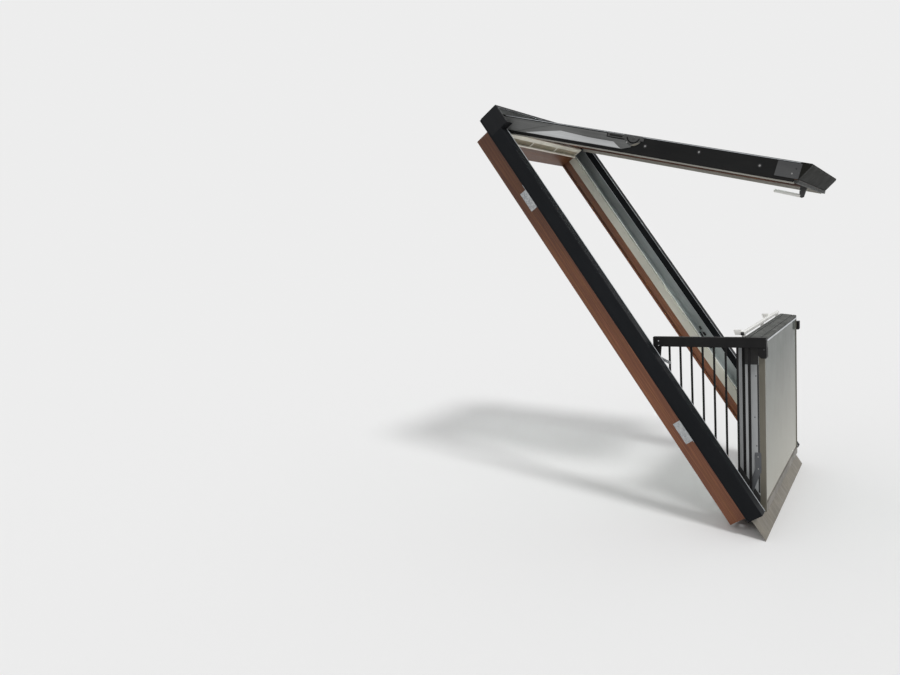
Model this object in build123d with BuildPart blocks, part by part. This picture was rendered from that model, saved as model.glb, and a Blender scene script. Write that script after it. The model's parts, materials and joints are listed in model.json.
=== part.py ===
"""Balcony roof window: a long sloping frame with two sashes, both shown open.

The upper sash hangs from the head of the frame and is pushed out. The lower sash stands
upright on the sill and is the front of a small balcony, with a railing from its side edge
back to the frame. +Z is up, the outside faces -Y, and +X is to the right seen from outside.
The origin is the middle of the seat under the sill bracket, where the window rests on the
roof. Every size is in millimetres.
"""
from build123d import *

from math import atan2, cos, degrees, radians, sin
import os

os.makedirs("parts", exist_ok=True)

# Roof and frame
pitch = 57.0                # slope of the roof
frame_width = 1140.0        # over the two timber jambs
frame_length = 2520.0       # along the slope, from the sill's foot to the top of the casing
timber_bottom = -118.0      # underside of the timber, below the seat plane
jamb_thickness = 45.0
jamb_top = -14.0
groove_width = 14.0         # groove for the room's lining
groove_depth = 10.0
groove_rise = 10.0          # from the timber's underside
sill_thickness = 45.0
sill_top = -21.0
head_thickness = 80.0
head_setback = 6.0          # of the head timber, up the slope from the end of the side covers
timber_chamfer = 3.0
sheet = 2.0                 # folded metal
plate = 3.0                 # brackets and profiles
fit = 0.3                   # gap round a piece that fits in or beside another

# Strips and profiles on the jambs
strip_reach = 22.0          # of the light strip over the jamb, from its inner face
strip_drop = 44.0           # of the strip's leg, below the top of the jamb
strip_gap = 1.0             # between the strip and the side profile
ledge_reach = 33.0          # of the profile's ledge, past the jamb's outer face
wall_top = 44.0             # top of the profile's wall above the seat plane
rib_height = 4.0
rib_from_wall = 5.0
rib_spacing = 21.0

# Covers over the frame
cladding_width = 69.0
covering_height = 27.0      # top of the roof covering above the seat plane
cladding_height = 84.0      # top of the side claddings above the seat plane
cladding_hem = 12.0         # how far the outer leg dips below the roof covering
cladding_round = 3.0
inner_leg_rise = 8.0        # how much higher the cladding's inner leg ends
bead = 2.0                  # along the cladding's inner top edge
flashing_rise = 4.0         # of the flashing's floor above the seat plane
flashing_leg = 16.0
casing_length = 120.0
casing_height = 130.0
casing_lip = 14.0
head_wall_gap = 14.0        # from the head profile's wall to the top of the casing
head_flange = 36.0
apron_reach = 112.0         # down the slope from the frame's foot
apron_turn = 3.0            # where the apron turns down inside the frame's foot
apron_tuck = 20.0           # of the apron under the sill's edge

# Vent grille across the head
grille_plate = 4.0
grille_height = 72.0
grille_slots = 3
slot_foot = 8.0             # from the grille's foot to its slots
slot_height = 36.0
slot_post = 14.0
grille_bar = 10.0           # the bar along the foot of the grille, square
grille_flange = 20.0
grille_return = 8.0

# Brackets under the frame
flange_reach = 70.0         # sill bracket's flange, along the slope
flange_width = 300.0
bracket_leg = 75.0
bracket_width = 120.0
bracket_spacing = 1500.0
bracket_crank = 6.0         # from the profile's wall to the bracket's upright
bracket_inset = 8.0         # of the bracket's flange from the cladding's outer face

# Lower sash
lower_gap = 14.0            # from the jamb's outer face in to the sash's side
lower_height = 872.0
lower_depth = 84.0          # of the timber, behind the sash's outer face
profile_depth = 120.0       # of the side profiles
profile_thickness = 12.0
foot_s = 17.5               # outer bottom edge of the sash, along the roof from the origin
foot_n = 73.0               # the same edge, above the seat plane
glass_thickness = 24.0
edge_depth = 28.0
edge_width = 8.0
lower_stile_width = 58.0
lower_rail_height = 62.0
lower_rail_foot = 4.0
sash_foot_n = 2.0           # underside of the sash's sides, cut along the slope of the roof
foot_cap_n = 92.0           # top of the caps under the side profiles, cut along the same slope
cap_height = 18.0
cap_depth = 90.0
cap_fall = 10.0             # from the cap's back to its front edge
cap_flat = 14.0             # level part along the cap's back
cap_nose = 5.0              # radius along the cap's front edge
bead_drop = 14.0            # of the bead in front of the glass, below the cap
seal_depth = 8.0
seal_setback = 2.0
foot_cover_height = 44.0
end_cap_length = 118.0
bar_size = 18.0             # handle bar along the top
bar_gap = 10.0              # between the top rail and the bar
bar_lift = 4.0              # of the bar above the sash
bar_setback = 16.0          # of the bar's ends from the sash's sides
lower_pin = 5.0             # radius of the pins at the foot of the sash and of the railing
lower_pin_back = 95.0       # behind the sash's outer face
lower_pin_height = 40.0
hinge_plate = 4.0
link_end = 14.0             # radius of a hinged plate's round end

# Railing on the left
handrail_rise = 1.0         # of the handrail's top above the sash's top
handrail_height = 50.0
handrail_width = 34.0
handrail_wall = 3.0
handrail_roof = 8.0
handrail_gap = 13.0         # between the sash's side and the handrail
handrail_overhang = 14.0    # past the sash's outer face
handrail_reach = 525.0      # behind the sash's outer face
baluster_size = 9.0
baluster_pitch = 54.5
baluster_first = 65.0       # from the sash's outer face to the first baluster
baluster_last = 60.0        # least distance from the last baluster to the handrail's end
baluster_pin = 2.5
baluster_pin_n = 12.0       # of the foot pins above the seat plane
channel_half = 14.0
channel_wall = 2.0
channel_height = 31.0

# Upper sash
opening_angle = 40.4
hinge_s = 2500.0            # top edge of the sash, up the slope from the frame's foot
hinge_n = 96.0
sash_gap = 5.0              # between the sash's arms and the walls of the side profiles
upper_length = 1632.0
upper_thickness = 80.0
upper_stile_width = 64.0
upper_rail_width = 64.0
timber_inset = 20.0         # of the timber from the sash's top edge
nose_rake = 38.0            # how far the foot of the sash leans back
cover_plate = 3.0
lip = 4.0                   # thickness of the covers' lips over the glass
lip_lap = 24.0
arm_plate = 4.0
arm_layer = 2.0             # second layer on the arms
hinge_pin = 6.0             # radius of the pins at the head
hinge_pin_t = -22.0
hinge_pin_m = -34.0

frame_foot = flange_reach / 2
frame_top = frame_foot + frame_length
half_frame = frame_width / 2
jamb_inside = half_frame - jamb_thickness
wall_inside = half_frame + ledge_reach
wall_outside = wall_inside + plate
half_cover = wall_outside + cladding_width
cover_end = frame_top - casing_length
head_start = cover_end + head_setback
head_end = head_start + head_thickness
half_lower = half_frame - lower_gap
half_upper = wall_inside - sash_gap - arm_plate


def leaf(angle, foot):
    """Plane of a sloping leaf: X across, Y up the slope, Z towards the outside."""
    tilt = radians(angle)
    return Plane(origin=foot, x_dir=(1, 0, 0), z_dir=(0, -sin(tilt), cos(tilt)))


def flat(frame, height):
    """Plane parallel to a leaf, at a height above it."""
    return Plane(origin=frame.from_local_coords((0, 0, height)), x_dir=frame.x_dir, z_dir=frame.z_dir)


def looking_up(frame, at):
    """Section across a leaf: sketch X across and Y outwards, extruded down the slope."""
    return Plane(origin=frame.from_local_coords((0, at, 0)), x_dir=frame.x_dir, z_dir=-frame.y_dir)


def looking_along(frame, at):
    """Section along a leaf: sketch X up the slope and Y outwards, extruded towards +X."""
    return Plane(origin=frame.from_local_coords((at, 0, 0)), x_dir=frame.y_dir, z_dir=frame.x_dir)


def beside(frame, side, face, thickness):
    """Section along a leaf for a plate outside a face on one side, extruded by its thickness."""
    return looking_along(frame, face if side > 0 else -face - thickness)


def outline(*points, side=1):
    """Closed face through the given points, in the sketch being built."""
    with BuildLine() as edge:
        Polyline(*((side * x, y) for x, y in points), close=True)
    make_face(edge.edges())


def box_at(x0, x1, y0, y1, side=1, mode=Mode.ADD):
    """Rectangle between two corners, in the sketch being built."""
    with Locations((side * (x0 + x1) / 2, (y0 + y1) / 2)):
        Rectangle(abs(x1 - x0), abs(y1 - y0), mode=mode)


def disc_at(point, radius, mode=Mode.ADD):
    with Locations(point):
        Circle(radius, mode=mode)


def strap(start, end, width):
    """Flat bar with round ends between two points, in the sketch being built."""
    run = Vector(*end) - Vector(*start)
    with Locations(((start[0] + end[0]) / 2, (start[1] + end[1]) / 2)):
        SlotCenterToCenter(run.length, width, rotation=degrees(atan2(run.Y, run.X)))


def horseshoe(outside, inside, outer_end, inner_end):
    """U-shaped band round the head, open down the slope where the side covers end."""
    outline(
        (-outside, cover_end), (-outside, outer_end), (outside, outer_end), (outside, cover_end),
        (inside, cover_end), (inside, inner_end), (-inside, inner_end), (-inside, cover_end),
    )


def save(piece, name):
    """Name a piece and write it."""
    piece.label = name
    export_step(piece, f"parts/{name}.step")


roof = leaf(pitch, (0, 0, 0))
lower = leaf(90, roof.from_local_coords((0, foot_s, foot_n)))
upper = leaf(pitch - opening_angle, roof.from_local_coords((0, frame_foot + hinge_s, hinge_n)))
sides = (("left", -1), ("right", 1))


# Timber frame

def jamb(side):
    groove_low = timber_bottom + groove_rise
    with BuildPart() as piece:
        with BuildSketch(looking_up(roof, head_end)):
            box_at(jamb_inside, half_frame, timber_bottom, jamb_top, side)
            box_at(jamb_inside, jamb_inside + groove_depth, groove_low, groove_low + groove_width,
                   side, Mode.SUBTRACT)
        extrude(amount=head_end - frame_foot)
    return piece.part


def cross_timber(start, thickness, top):
    """Timber between the jambs, from one place up the slope."""
    with BuildPart() as piece:
        with BuildSketch(looking_along(roof, -jamb_inside)):
            box_at(start, start + thickness, timber_bottom, top)
        extrude(amount=2 * jamb_inside)
        chamfer(piece.edges().filter_by(Axis.X).sort_by(Axis.Z)[-1:], timber_chamfer)
    return piece.part


for name, side in sides:
    save(jamb(side), f"frame_jamb_{name}")
save(cross_timber(frame_foot, sill_thickness, sill_top), "frame_sill")
save(cross_timber(head_start, head_thickness, jamb_top), "frame_head")


# Light strips that line the frame's rebate, on both jambs

strip_inside = jamb_inside - plate
strip_edge = jamb_inside + strip_reach
ledge_top = jamb_top + plate

with BuildPart() as strips:
    with BuildSketch(looking_up(roof, cover_end)):
        for name, side in sides:
            outline(
                (strip_inside, jamb_top - strip_drop),
                (jamb_inside, jamb_top - strip_drop),
                (jamb_inside, jamb_top),
                (strip_edge, jamb_top),
                (strip_edge, ledge_top),
                (strip_inside, ledge_top),
                side=side,
            )
    extrude(amount=cover_end - frame_foot - sill_thickness)
    with BuildSketch(looking_up(roof, head_end)):
        for name, side in sides:
            box_at(jamb_inside, strip_edge, jamb_top, ledge_top, side)
    extrude(amount=head_end - cover_end)
save(strips.part, "rebate_strips")


# Side profiles: a ribbed ledge on the jamb, up to the head, and a wall that carries the cladding

profile_start = strip_edge + strip_gap
rib_outer = wall_inside - rib_from_wall - plate
rib_middle = rib_outer - rib_spacing


def side_profile(side):
    with BuildPart() as piece:
        with BuildSketch(looking_up(roof, head_end)):
            box_at(profile_start, wall_inside, jamb_top, ledge_top, side)
        extrude(amount=head_end - frame_foot)
        with BuildSketch(looking_up(roof, cover_end)):
            box_at(wall_inside, wall_outside, jamb_top, wall_top, side)
            for rib in (profile_start, rib_middle, rib_outer):
                box_at(rib, rib + plate, jamb_top, ledge_top + rib_height, side)
        extrude(amount=cover_end - frame_foot)
    return piece.part


def side_cladding(side):
    """Sheet folded over the profile's wall, with a closed foot."""
    outer_low = covering_height - cladding_hem
    inner_low = outer_low + inner_leg_rise
    under = cladding_height - sheet
    with BuildPart() as piece:
        with BuildSketch(looking_up(roof, cover_end)) as section:
            outline(
                (half_cover, outer_low),
                (half_cover, cladding_height),
                (wall_outside + bead, cladding_height),
                (wall_outside + bead, cladding_height + bead),
                (wall_outside, cladding_height + bead),
                (wall_outside, inner_low),
                (wall_outside + sheet, inner_low),
                (wall_outside + sheet, under),
                (half_cover - sheet, under),
                (half_cover - sheet, outer_low),
                side=side,
            )
            corner = section.vertices().sort_by_distance((side * half_cover, cladding_height, 0))[0]
            fillet(corner, cladding_round)
        extrude(amount=cover_end - frame_foot)
        with BuildSketch(looking_up(roof, frame_foot + sheet)):
            box_at(wall_outside, half_cover - sheet, inner_low, under + sheet / 2, side)
        extrude(amount=sheet)
    return piece.part


for name, side in sides:
    save(side_profile(side), f"side_profile_{name}")
    save(side_cladding(side), f"side_cladding_{name}")


# Flashings: channels beside the walls and behind the head

head_wall_end = frame_top - head_wall_gap
flashing_top = covering_height - 2 * sheet


def flashing_section(inner, outer):
    outline(
        (inner, flashing_rise), (outer, flashing_rise), (outer, flashing_top),
        (outer - sheet, flashing_top), (outer - sheet, flashing_rise + sheet),
        (inner + sheet, flashing_rise + sheet), (inner + sheet, flashing_rise + flashing_leg),
        (inner, flashing_rise + flashing_leg), side=side,
    )


with BuildPart() as flashings:
    for name, side in sides:
        with BuildSketch(looking_up(roof, frame_top - sheet)):
            flashing_section(wall_outside, half_cover - sheet)
        extrude(amount=frame_top - sheet - frame_foot)
    with BuildSketch(looking_along(roof, -wall_outside + fit)):
        flashing_section(head_wall_end, frame_top - sheet)
    extrude(amount=2 * (wall_outside - fit))
save(flashings.part, "side_flashings")


# Wall round the head, and the high casing that covers it

with BuildPart() as head_profile:
    with BuildSketch(flat(roof, jamb_top)):
        horseshoe(wall_outside, wall_inside, head_wall_end, head_wall_end - plate)
    extrude(amount=wall_top - jamb_top)
    with BuildSketch(looking_along(roof, -jamb_inside)):
        box_at(head_wall_end - head_flange, head_wall_end, jamb_top, ledge_top)
    extrude(amount=2 * jamb_inside)
save(head_profile.part, "head_profile")

with BuildPart() as casing:
    with BuildSketch(flat(roof, covering_height - cladding_hem)):
        horseshoe(half_cover, half_cover - sheet, frame_top, frame_top - sheet)
    extrude(amount=casing_height - covering_height + cladding_hem)
    with BuildSketch(flat(roof, casing_height - sheet)):
        horseshoe(half_cover, half_cover - casing_lip, frame_top, frame_top - casing_lip)
    extrude(amount=sheet)
    with BuildSketch(looking_up(roof, cover_end + sheet)):
        for name, side in sides:
            box_at(wall_outside, half_cover, cladding_height - sheet, casing_height, side)
    extrude(amount=sheet)
save(casing.part, "head_casing")


# Vent grille: an upright plate on the head timber's edge, with long slots

grille_half = strip_inside
grille_foot = jamb_top
grille_top = grille_foot + grille_height
slot_length = (2 * grille_half - slot_post * (grille_slots + 1)) / grille_slots

with BuildPart() as grille:
    with BuildSketch(looking_up(roof, head_start)):
        box_at(-grille_half, grille_half, grille_foot, grille_top)
        with Locations((0, grille_foot + slot_foot + slot_height / 2)):
            with GridLocations(slot_length + slot_post, 1, grille_slots, 1):
                Rectangle(slot_length, slot_height, mode=Mode.SUBTRACT)
    extrude(amount=grille_plate)
    with BuildSketch(looking_along(roof, -grille_half)):
        box_at(head_start - grille_plate - grille_bar, head_start - grille_plate,
               grille_foot + sheet, grille_foot + sheet + grille_bar)
        box_at(head_start - grille_plate, head_start + grille_flange, grille_foot, grille_foot + plate)
        box_at(head_start - grille_plate, head_start + grille_return, grille_top - plate, grille_top)
    extrude(amount=2 * grille_half)
save(grille.part, "vent_grille")


# Apron over the sill and down onto the roof covering

apron_in = frame_foot + apron_turn
with BuildPart() as apron:
    with BuildSketch(looking_along(roof, -half_cover)):
        box_at(frame_foot - apron_reach, frame_foot, covering_height, covering_height + sheet)
    extrude(amount=2 * half_cover)
    with BuildSketch(looking_along(roof, -jamb_inside)):
        box_at(frame_foot, apron_in, covering_height, covering_height + sheet)
        box_at(apron_in - sheet, apron_in, sill_top, covering_height + sheet)
        box_at(apron_in - sheet, apron_in + apron_tuck, sill_top, sill_top + sheet)
    extrude(amount=2 * jamb_inside)
save(apron.part, "apron_flashing")


# Brackets that hold the window on the roof

with BuildPart() as sill_bracket:
    with BuildSketch(looking_along(roof, -flange_width / 2)):
        box_at(-flange_reach / 2, flange_reach / 2, 0, plate)
        box_at(flange_reach / 2 - plate, flange_reach / 2, -bracket_leg, plate)
    extrude(amount=flange_width)
save(sill_bracket.part, "sill_bracket")

step_low = jamb_top - strip_gap - plate
crank = wall_outside + bracket_crank
with BuildPart() as brackets:
    for up in (-1, 1):
        middle = frame_foot + frame_length / 2 + up * bracket_spacing / 2
        with BuildSketch(looking_up(roof, middle + bracket_width / 2)):
            for name, side in sides:
                box_at(half_frame, half_frame + plate, -bracket_leg, step_low + plate, side)
                box_at(half_frame, crank + plate, step_low, step_low + plate, side)
                box_at(crank, crank + plate, step_low, plate, side)
                box_at(crank, half_cover - bracket_inset, 0, plate, side)
        extrude(amount=bracket_width)
save(brackets.part, "jamb_brackets")


# Lower sash: aluminium sides with two seal grooves each, on foot caps and round a timber frame

sash_top = lower_height - cap_height
profile_inside = half_lower - profile_thickness
lower_inside = profile_inside - lower_stile_width
seal_grooves = ((69.0, 10.0), (91.0, 14.0))     # start behind the outer face, and width


def lower_profile(side):
    with BuildPart() as piece:
        with BuildSketch(looking_up(lower, sash_top)):
            box_at(profile_inside, half_lower, -profile_depth, -edge_depth, side)
            for start, width in seal_grooves:
                box_at(half_lower - seal_depth, half_lower, -start - width, -start,
                       side, Mode.SUBTRACT)
        extrude(amount=sash_top)
        split(bisect_by=flat(roof, foot_cap_n), keep=Keep.TOP)
    return piece.part


for name, side in sides:
    save(lower_profile(side), f"lower_sash_stile_{name}")

with BuildPart() as seals:
    with BuildSketch(looking_up(lower, sash_top)):
        for name, side in sides:
            for start, width in seal_grooves:
                box_at(half_lower - seal_depth, half_lower - seal_setback, -start - width, -start, side)
    extrude(amount=sash_top)
    split(bisect_by=flat(roof, foot_cap_n), keep=Keep.TOP)
save(seals.part, "lower_sash_seals")

with BuildPart() as edges:
    with BuildSketch(looking_up(lower, sash_top)):
        for name, side in sides:
            box_at(half_lower - edge_width, half_lower, -edge_depth, 0, side)
    extrude(amount=sash_top)
save(edges.part, "lower_sash_edges")

with BuildPart() as end_caps:
    with BuildSketch(looking_up(lower, sash_top)):
        for name, side in sides:
            box_at(profile_inside, half_lower, -profile_depth, -edge_depth, side)
    extrude(amount=sash_top)
    split(bisect_by=flat(roof, foot_cap_n), keep=Keep.BOTTOM)
    split(bisect_by=flat(roof, sash_foot_n), keep=Keep.TOP)
    with BuildSketch(looking_up(lower, sash_top)):
        for name, side in sides:
            box_at(half_lower, half_lower + sheet, -seal_grooves[1][0], -edge_depth - sheet, side)
    extrude(amount=end_cap_length)
save(end_caps.part, "lower_sash_end_caps")

with BuildPart() as timbers:
    with BuildSketch(looking_up(lower, sash_top)):
        for name, side in sides:
            box_at(lower_inside, profile_inside, -lower_depth, -edge_depth, side)
    extrude(amount=sash_top - lower_rail_foot)
save(timbers.part, "lower_sash_timbers")


def lower_rail(low, name):
    with BuildPart() as piece:
        with BuildSketch(looking_along(lower, -lower_inside)):
            box_at(low, low + lower_rail_height, -lower_depth, -edge_depth)
        extrude(amount=2 * lower_inside)
    save(piece.part, name)


lower_rail(lower_rail_foot, "lower_sash_bottom_rail")
lower_rail(sash_top - lower_rail_height, "lower_sash_top_rail")

glass_half = half_lower - edge_width - fit
with BuildPart() as lower_glass:
    with BuildSketch(flat(lower, -edge_depth)):
        box_at(-glass_half, glass_half, foot_cover_height + sheet, sash_top - fit)
    extrude(amount=glass_thickness)
save(lower_glass.part, "lower_glass")

cap_groove_width = 4.0
cap_groove_depth = 3.0
bead_gap = 4.0              # shadow gap between the cap's front edge and the bead
bead_thickness = edge_depth - glass_thickness - fit
cap_front = lower_height - cap_fall


def cap_surface(back):
    """Height of the cap's falling top, at a distance behind the sash's outer face."""
    return cap_front + cap_fall * back / (cap_depth - cap_flat)


with BuildPart() as cap:
    with BuildSketch(looking_along(lower, -half_lower)) as section:
        outline(
            (sash_top, 0), (sash_top, -cap_depth), (lower_height, -cap_depth),
            (lower_height, cap_flat - cap_depth), (cap_front, 0),
        )
        fillet(section.vertices().sort_by_distance((cap_front, 0, 0))[0], cap_nose)
        for groove in (cap_depth / 4, cap_depth * 3 / 4):
            box_at(cap_surface(groove) - cap_groove_depth, lower_height, -groove - cap_groove_width / 2,
                   -groove + cap_groove_width / 2, mode=Mode.SUBTRACT)
    extrude(amount=2 * half_lower)
    with BuildSketch(looking_along(lower, -glass_half)):
        box_at(sash_top - bead_drop, sash_top, -bead_thickness, 0)
        box_at(sash_top - bead_gap, sash_top, -bead_thickness / 2, 0, mode=Mode.SUBTRACT)
    extrude(amount=2 * glass_half)
save(cap.part, "lower_sash_top_cap")

cover_slope = 8.0
with BuildPart() as foot_cover:
    with BuildSketch(looking_along(lower, -glass_half)):
        outline(
            (0, 0), (0, -edge_depth), (foot_cover_height, -edge_depth),
            (foot_cover_height, lip - edge_depth), (foot_cover_height - cover_slope, 0),
        )
    extrude(amount=2 * glass_half)
save(foot_cover.part, "lower_sash_bottom_cover")


# Handle bar along the top of the lower sash, with thumb levers at its end and past its middle

bar_half = half_lower - bar_setback
bar_front = lower_depth + bar_gap
bar_low = lower_height + bar_lift
post_width = 24.0
post_inset = 30.0
post_thickness = 20.0
post_low = sash_top - post_thickness - fit
lever_inset = 15.0
lever_past_middle = 260.0
lever_width = 24.0
lever_reach = 34.0
lever_rise = 8.0

with BuildPart() as bar:
    with BuildSketch(looking_along(lower, -bar_half)):
        with Locations((bar_low + bar_size / 2, -bar_front - bar_size / 2)):
            RectangleRounded(bar_size, bar_size, bar_size / 4)
    extrude(amount=2 * bar_half)
    for middle in (-bar_half + post_inset, 0, bar_half - post_inset):
        with BuildSketch(looking_along(lower, middle - post_width / 2)):
            bar_back = bar_front + bar_size - sheet
            box_at(post_low, post_low + post_thickness, -bar_back, -lower_depth)
            box_at(post_low, bar_low + sheet, -bar_back, -bar_front - sheet)
        extrude(amount=post_width)
    for middle in (-bar_half + lever_inset, lever_past_middle):
        with BuildSketch(looking_along(lower, middle - lever_width / 2)):
            outline(
                (bar_low + sheet, -bar_front - sheet),
                (bar_low + bar_size + lever_rise, -bar_front - bar_size),
                (bar_low + bar_size + lever_rise, -bar_front - bar_size - lever_reach),
                (bar_low + sheet, -bar_front - bar_size - lever_reach + lever_rise),
            )
        extrude(amount=lever_width)
save(bar.part, "lower_handle_bar")


# Hinges at the foot of the lower sash: a plate on each side, and a bracket with its pin

pin_place = roof.to_local_coords(lower.from_local_coords((0, lower_pin_height, -lower_pin_back)))
bracket_face = half_lower + hinge_plate + fit
hinge_foot = 196.0
hinge_head = 297.0
hinge_front = 22.0          # of the sash's plate, behind the sash's outer face
lower_bracket_length = 60.0
lower_bracket_top = 30.0

with BuildPart() as hinges:
    for name, side in sides:
        with BuildSketch(beside(lower, side, half_lower, hinge_plate)):
            box_at(hinge_foot, hinge_head, -hinge_front - 2 * link_end, -hinge_front)
            strap((hinge_foot + link_end, -hinge_front - link_end),
                  (lower_pin_height, -lower_pin_back), 2 * link_end)
            disc_at((lower_pin_height, -lower_pin_back), lower_pin + fit, Mode.SUBTRACT)
        extrude(amount=hinge_plate)
        with BuildSketch(beside(roof, side, bracket_face, plate)):
            box_at(pin_place.Y - lower_bracket_length * 2 / 3, pin_place.Y + lower_bracket_length / 3,
                   ledge_top, lower_bracket_top)
        extrude(amount=plate)
        with BuildSketch(beside(roof, side, bracket_face, rib_middle - bracket_face - strip_gap)):
            box_at(pin_place.Y - lower_bracket_length, pin_place.Y, ledge_top, ledge_top + plate)
        extrude(amount=rib_middle - bracket_face - strip_gap)
        with BuildSketch(beside(roof, side, half_lower + fit, hinge_plate)):
            disc_at((pin_place.Y, pin_place.Z), lower_pin)
        extrude(amount=hinge_plate)
save(hinges.part, "lower_hinges")


# Railing from the left edge of the lower sash back to the left jamb

handrail_top = lower_height + handrail_rise
handrail_low = handrail_top - handrail_height
handrail_middle = half_lower + handrail_gap + handrail_width / 2
handrail_inside = handrail_width / 2 - handrail_wall
hollow_start = edge_depth + sheet
rail_x = -handrail_middle


def place_on_roof(back, n):
    """Slope distance and height over the sash's foot of a roof height n, at a distance back."""
    level = lower.from_local_coords((0, 0, -back))
    up_slope = (level.Y + n * sin(radians(pitch))) / cos(radians(pitch))
    height = up_slope * sin(radians(pitch)) + n * cos(radians(pitch)) - lower.origin.Z
    return up_slope, height


with BuildPart() as handrail:
    with BuildSketch(flat(lower, handrail_overhang)):
        with Locations((rail_x, (handrail_top + handrail_low) / 2)):
            RectangleRounded(handrail_width, handrail_height, lip)
    extrude(amount=-handrail_reach - handrail_overhang)
    with BuildSketch(flat(lower, -hollow_start)):
        box_at(rail_x - handrail_inside, rail_x + handrail_inside, handrail_low,
               handrail_top - handrail_roof)
    extrude(amount=hollow_start + handrail_wall - handrail_reach, mode=Mode.SUBTRACT)
save(handrail.part, "handrail_left")

channel_low = ledge_top + rib_height
channel_floor = channel_low + channel_wall
channel_inside = channel_half - channel_wall
baluster_count = int((handrail_reach - baluster_first - baluster_last) / baluster_pitch) + 1
last_back = baluster_first + (baluster_count - 1) * baluster_pitch
channel_start = frame_foot + plate
channel_end = place_on_roof(last_back, baluster_pin_n)[0] + baluster_last

with BuildPart() as channel:
    with BuildSketch(looking_up(roof, channel_end)):
        box_at(rail_x - channel_half, rail_x + channel_half, channel_low, channel_low + channel_height)
        box_at(rail_x - channel_inside, rail_x + channel_inside, channel_floor,
               channel_low + channel_height, mode=Mode.SUBTRACT)
    extrude(amount=channel_end - channel_start)
save(channel.part, "baluster_channel_left")

pin_cover = 7.0             # of a baluster past its pins
head_pin = (handrail_top + handrail_low) / 2
with BuildPart() as balusters:
    for index in range(baluster_count):
        back = baluster_first + index * baluster_pitch
        foot_pin = place_on_roof(back, baluster_pin_n)[1]
        with BuildSketch(looking_along(lower, rail_x - baluster_size / 2)):
            box_at(foot_pin - pin_cover, head_pin + pin_cover, -back - baluster_size / 2,
                   -back + baluster_size / 2)
        extrude(amount=baluster_size)
        for height, reach in ((head_pin, handrail_inside), (foot_pin, channel_inside)):
            with BuildSketch(looking_along(lower, rail_x - reach)):
                disc_at((height, -back), baluster_pin)
            extrude(amount=2 * reach)
save(balusters.part, "balusters_left")


# Tongues on both edges of the lower sash, which carry the front ends of the railings

tongue_height = 50.0
tongue_back = 24.0
tongue_cut = 14.0
tongue_thickness = handrail_gap + handrail_width - handrail_wall
with BuildPart() as tongues:
    for name, side in sides:
        with BuildSketch(beside(lower, side, half_lower, tongue_thickness)) as section:
            outline(
                (handrail_low, handrail_overhang), (handrail_low, -tongue_back),
                (handrail_low - tongue_height + tongue_cut, -tongue_back),
                (handrail_low - tongue_height, tongue_cut - tongue_back),
                (handrail_low - tongue_height, handrail_overhang),
            )
            fillet(section.vertices().sort_by(Axis.X)[:2], lip)
        extrude(amount=tongue_thickness)
save(tongues.part, "handrail_tongues")


# Pivots on both jambs where the railings turn, and the left railing's link and lever

railing_pin_back = handrail_reach - link_end
railing_pin_n = 15.0
railing_pin_s, railing_pin_height = place_on_roof(railing_pin_back, railing_pin_n)
link_face = handrail_middle + handrail_inside       # outer face of the link, inside the handrail
pivot_face = link_face - 2 * plate - fit            # inner face of the pivot's upright
pivot_reach = 30.0
pivot_tail = 100.0

with BuildPart() as pivots:
    for name, side in sides:
        with BuildSketch(beside(roof, side, pivot_face, plate)):
            box_at(railing_pin_s - pivot_reach, railing_pin_s + pivot_reach, channel_low, pivot_reach)
        extrude(amount=plate)
        base = link_face - rib_middle - strip_gap
        with BuildSketch(beside(roof, side, rib_middle, base)):
            box_at(railing_pin_s - pivot_reach, railing_pin_s + pivot_tail, channel_low,
                   channel_low + plate)
        extrude(amount=base)
        with BuildSketch(beside(roof, side, pivot_face + plate, plate + fit)):
            disc_at((railing_pin_s, railing_pin_n), lower_pin)
        extrude(amount=plate + fit)
save(pivots.part, "railing_pivots")

link_width = 42.0
with BuildPart() as link:
    with BuildSketch(beside(lower, -1, link_face - plate, plate)):
        outline(
            (handrail_top - handrail_roof - lip, link_width + lip - handrail_reach),
            (handrail_top - handrail_roof - lip, lip - handrail_reach),
            (railing_pin_height, -railing_pin_back - link_end),
            (railing_pin_height, -railing_pin_back + link_end),
        )
        disc_at((railing_pin_height, -railing_pin_back), link_end)
        disc_at((railing_pin_height, -railing_pin_back), lower_pin + fit, Mode.SUBTRACT)
    extrude(amount=plate)
save(link.part, "railing_link_left")

link_clear = handrail_low - railing_pin_height      # of the link, between the handrail and its pin
lever_lead = 10.0           # of the lever's root in front of the link's pin
lever_run = 57.0
lever_root_share = 0.62     # of the clear link, from its pin up to the lever's root
lever_tip_share = 0.41
lever_root = (railing_pin_height + link_clear * lever_root_share, lever_lead - railing_pin_back)
lever_tip = (railing_pin_height + link_clear * lever_tip_share, lever_root[1] + lever_run)
with BuildPart() as lever:
    with BuildSketch(beside(lower, -1, link_face - plate - lip, lip)):
        strap(lever_root, lever_tip, link_end)
    extrude(amount=lip)
save(lever.part, "railing_lever_left")


# Upper sash: timber frame under black covers, with a raked nose at its foot

side_end = nose_rake - upper_length
stile_outside = half_upper - cover_plate
stile_inside = stile_outside - upper_stile_width
lip_inside = stile_inside + lip_lap
cross_half = lip_inside - fit
glass_low = -lip - glass_thickness
timber_end = side_end + sheet
stile_chamfer = 8.0
cover_foot = sheet - upper_thickness


def upper_stile(side):
    with BuildPart() as piece:
        with BuildSketch(looking_up(upper, -timber_inset)):
            outline(
                (stile_outside, glass_low), (stile_inside, glass_low),
                (stile_inside, stile_chamfer - upper_thickness),
                (stile_inside + stile_chamfer, -upper_thickness), (stile_outside, -upper_thickness),
                side=side,
            )
        extrude(amount=-timber_inset - timber_end)
    return piece.part


def upper_rail(start, name):
    with BuildPart() as piece:
        with BuildSketch(looking_along(upper, -stile_inside)):
            box_at(start, start + upper_rail_width, -upper_thickness, glass_low)
        extrude(amount=2 * stile_inside)
    save(piece.part, name)


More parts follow.
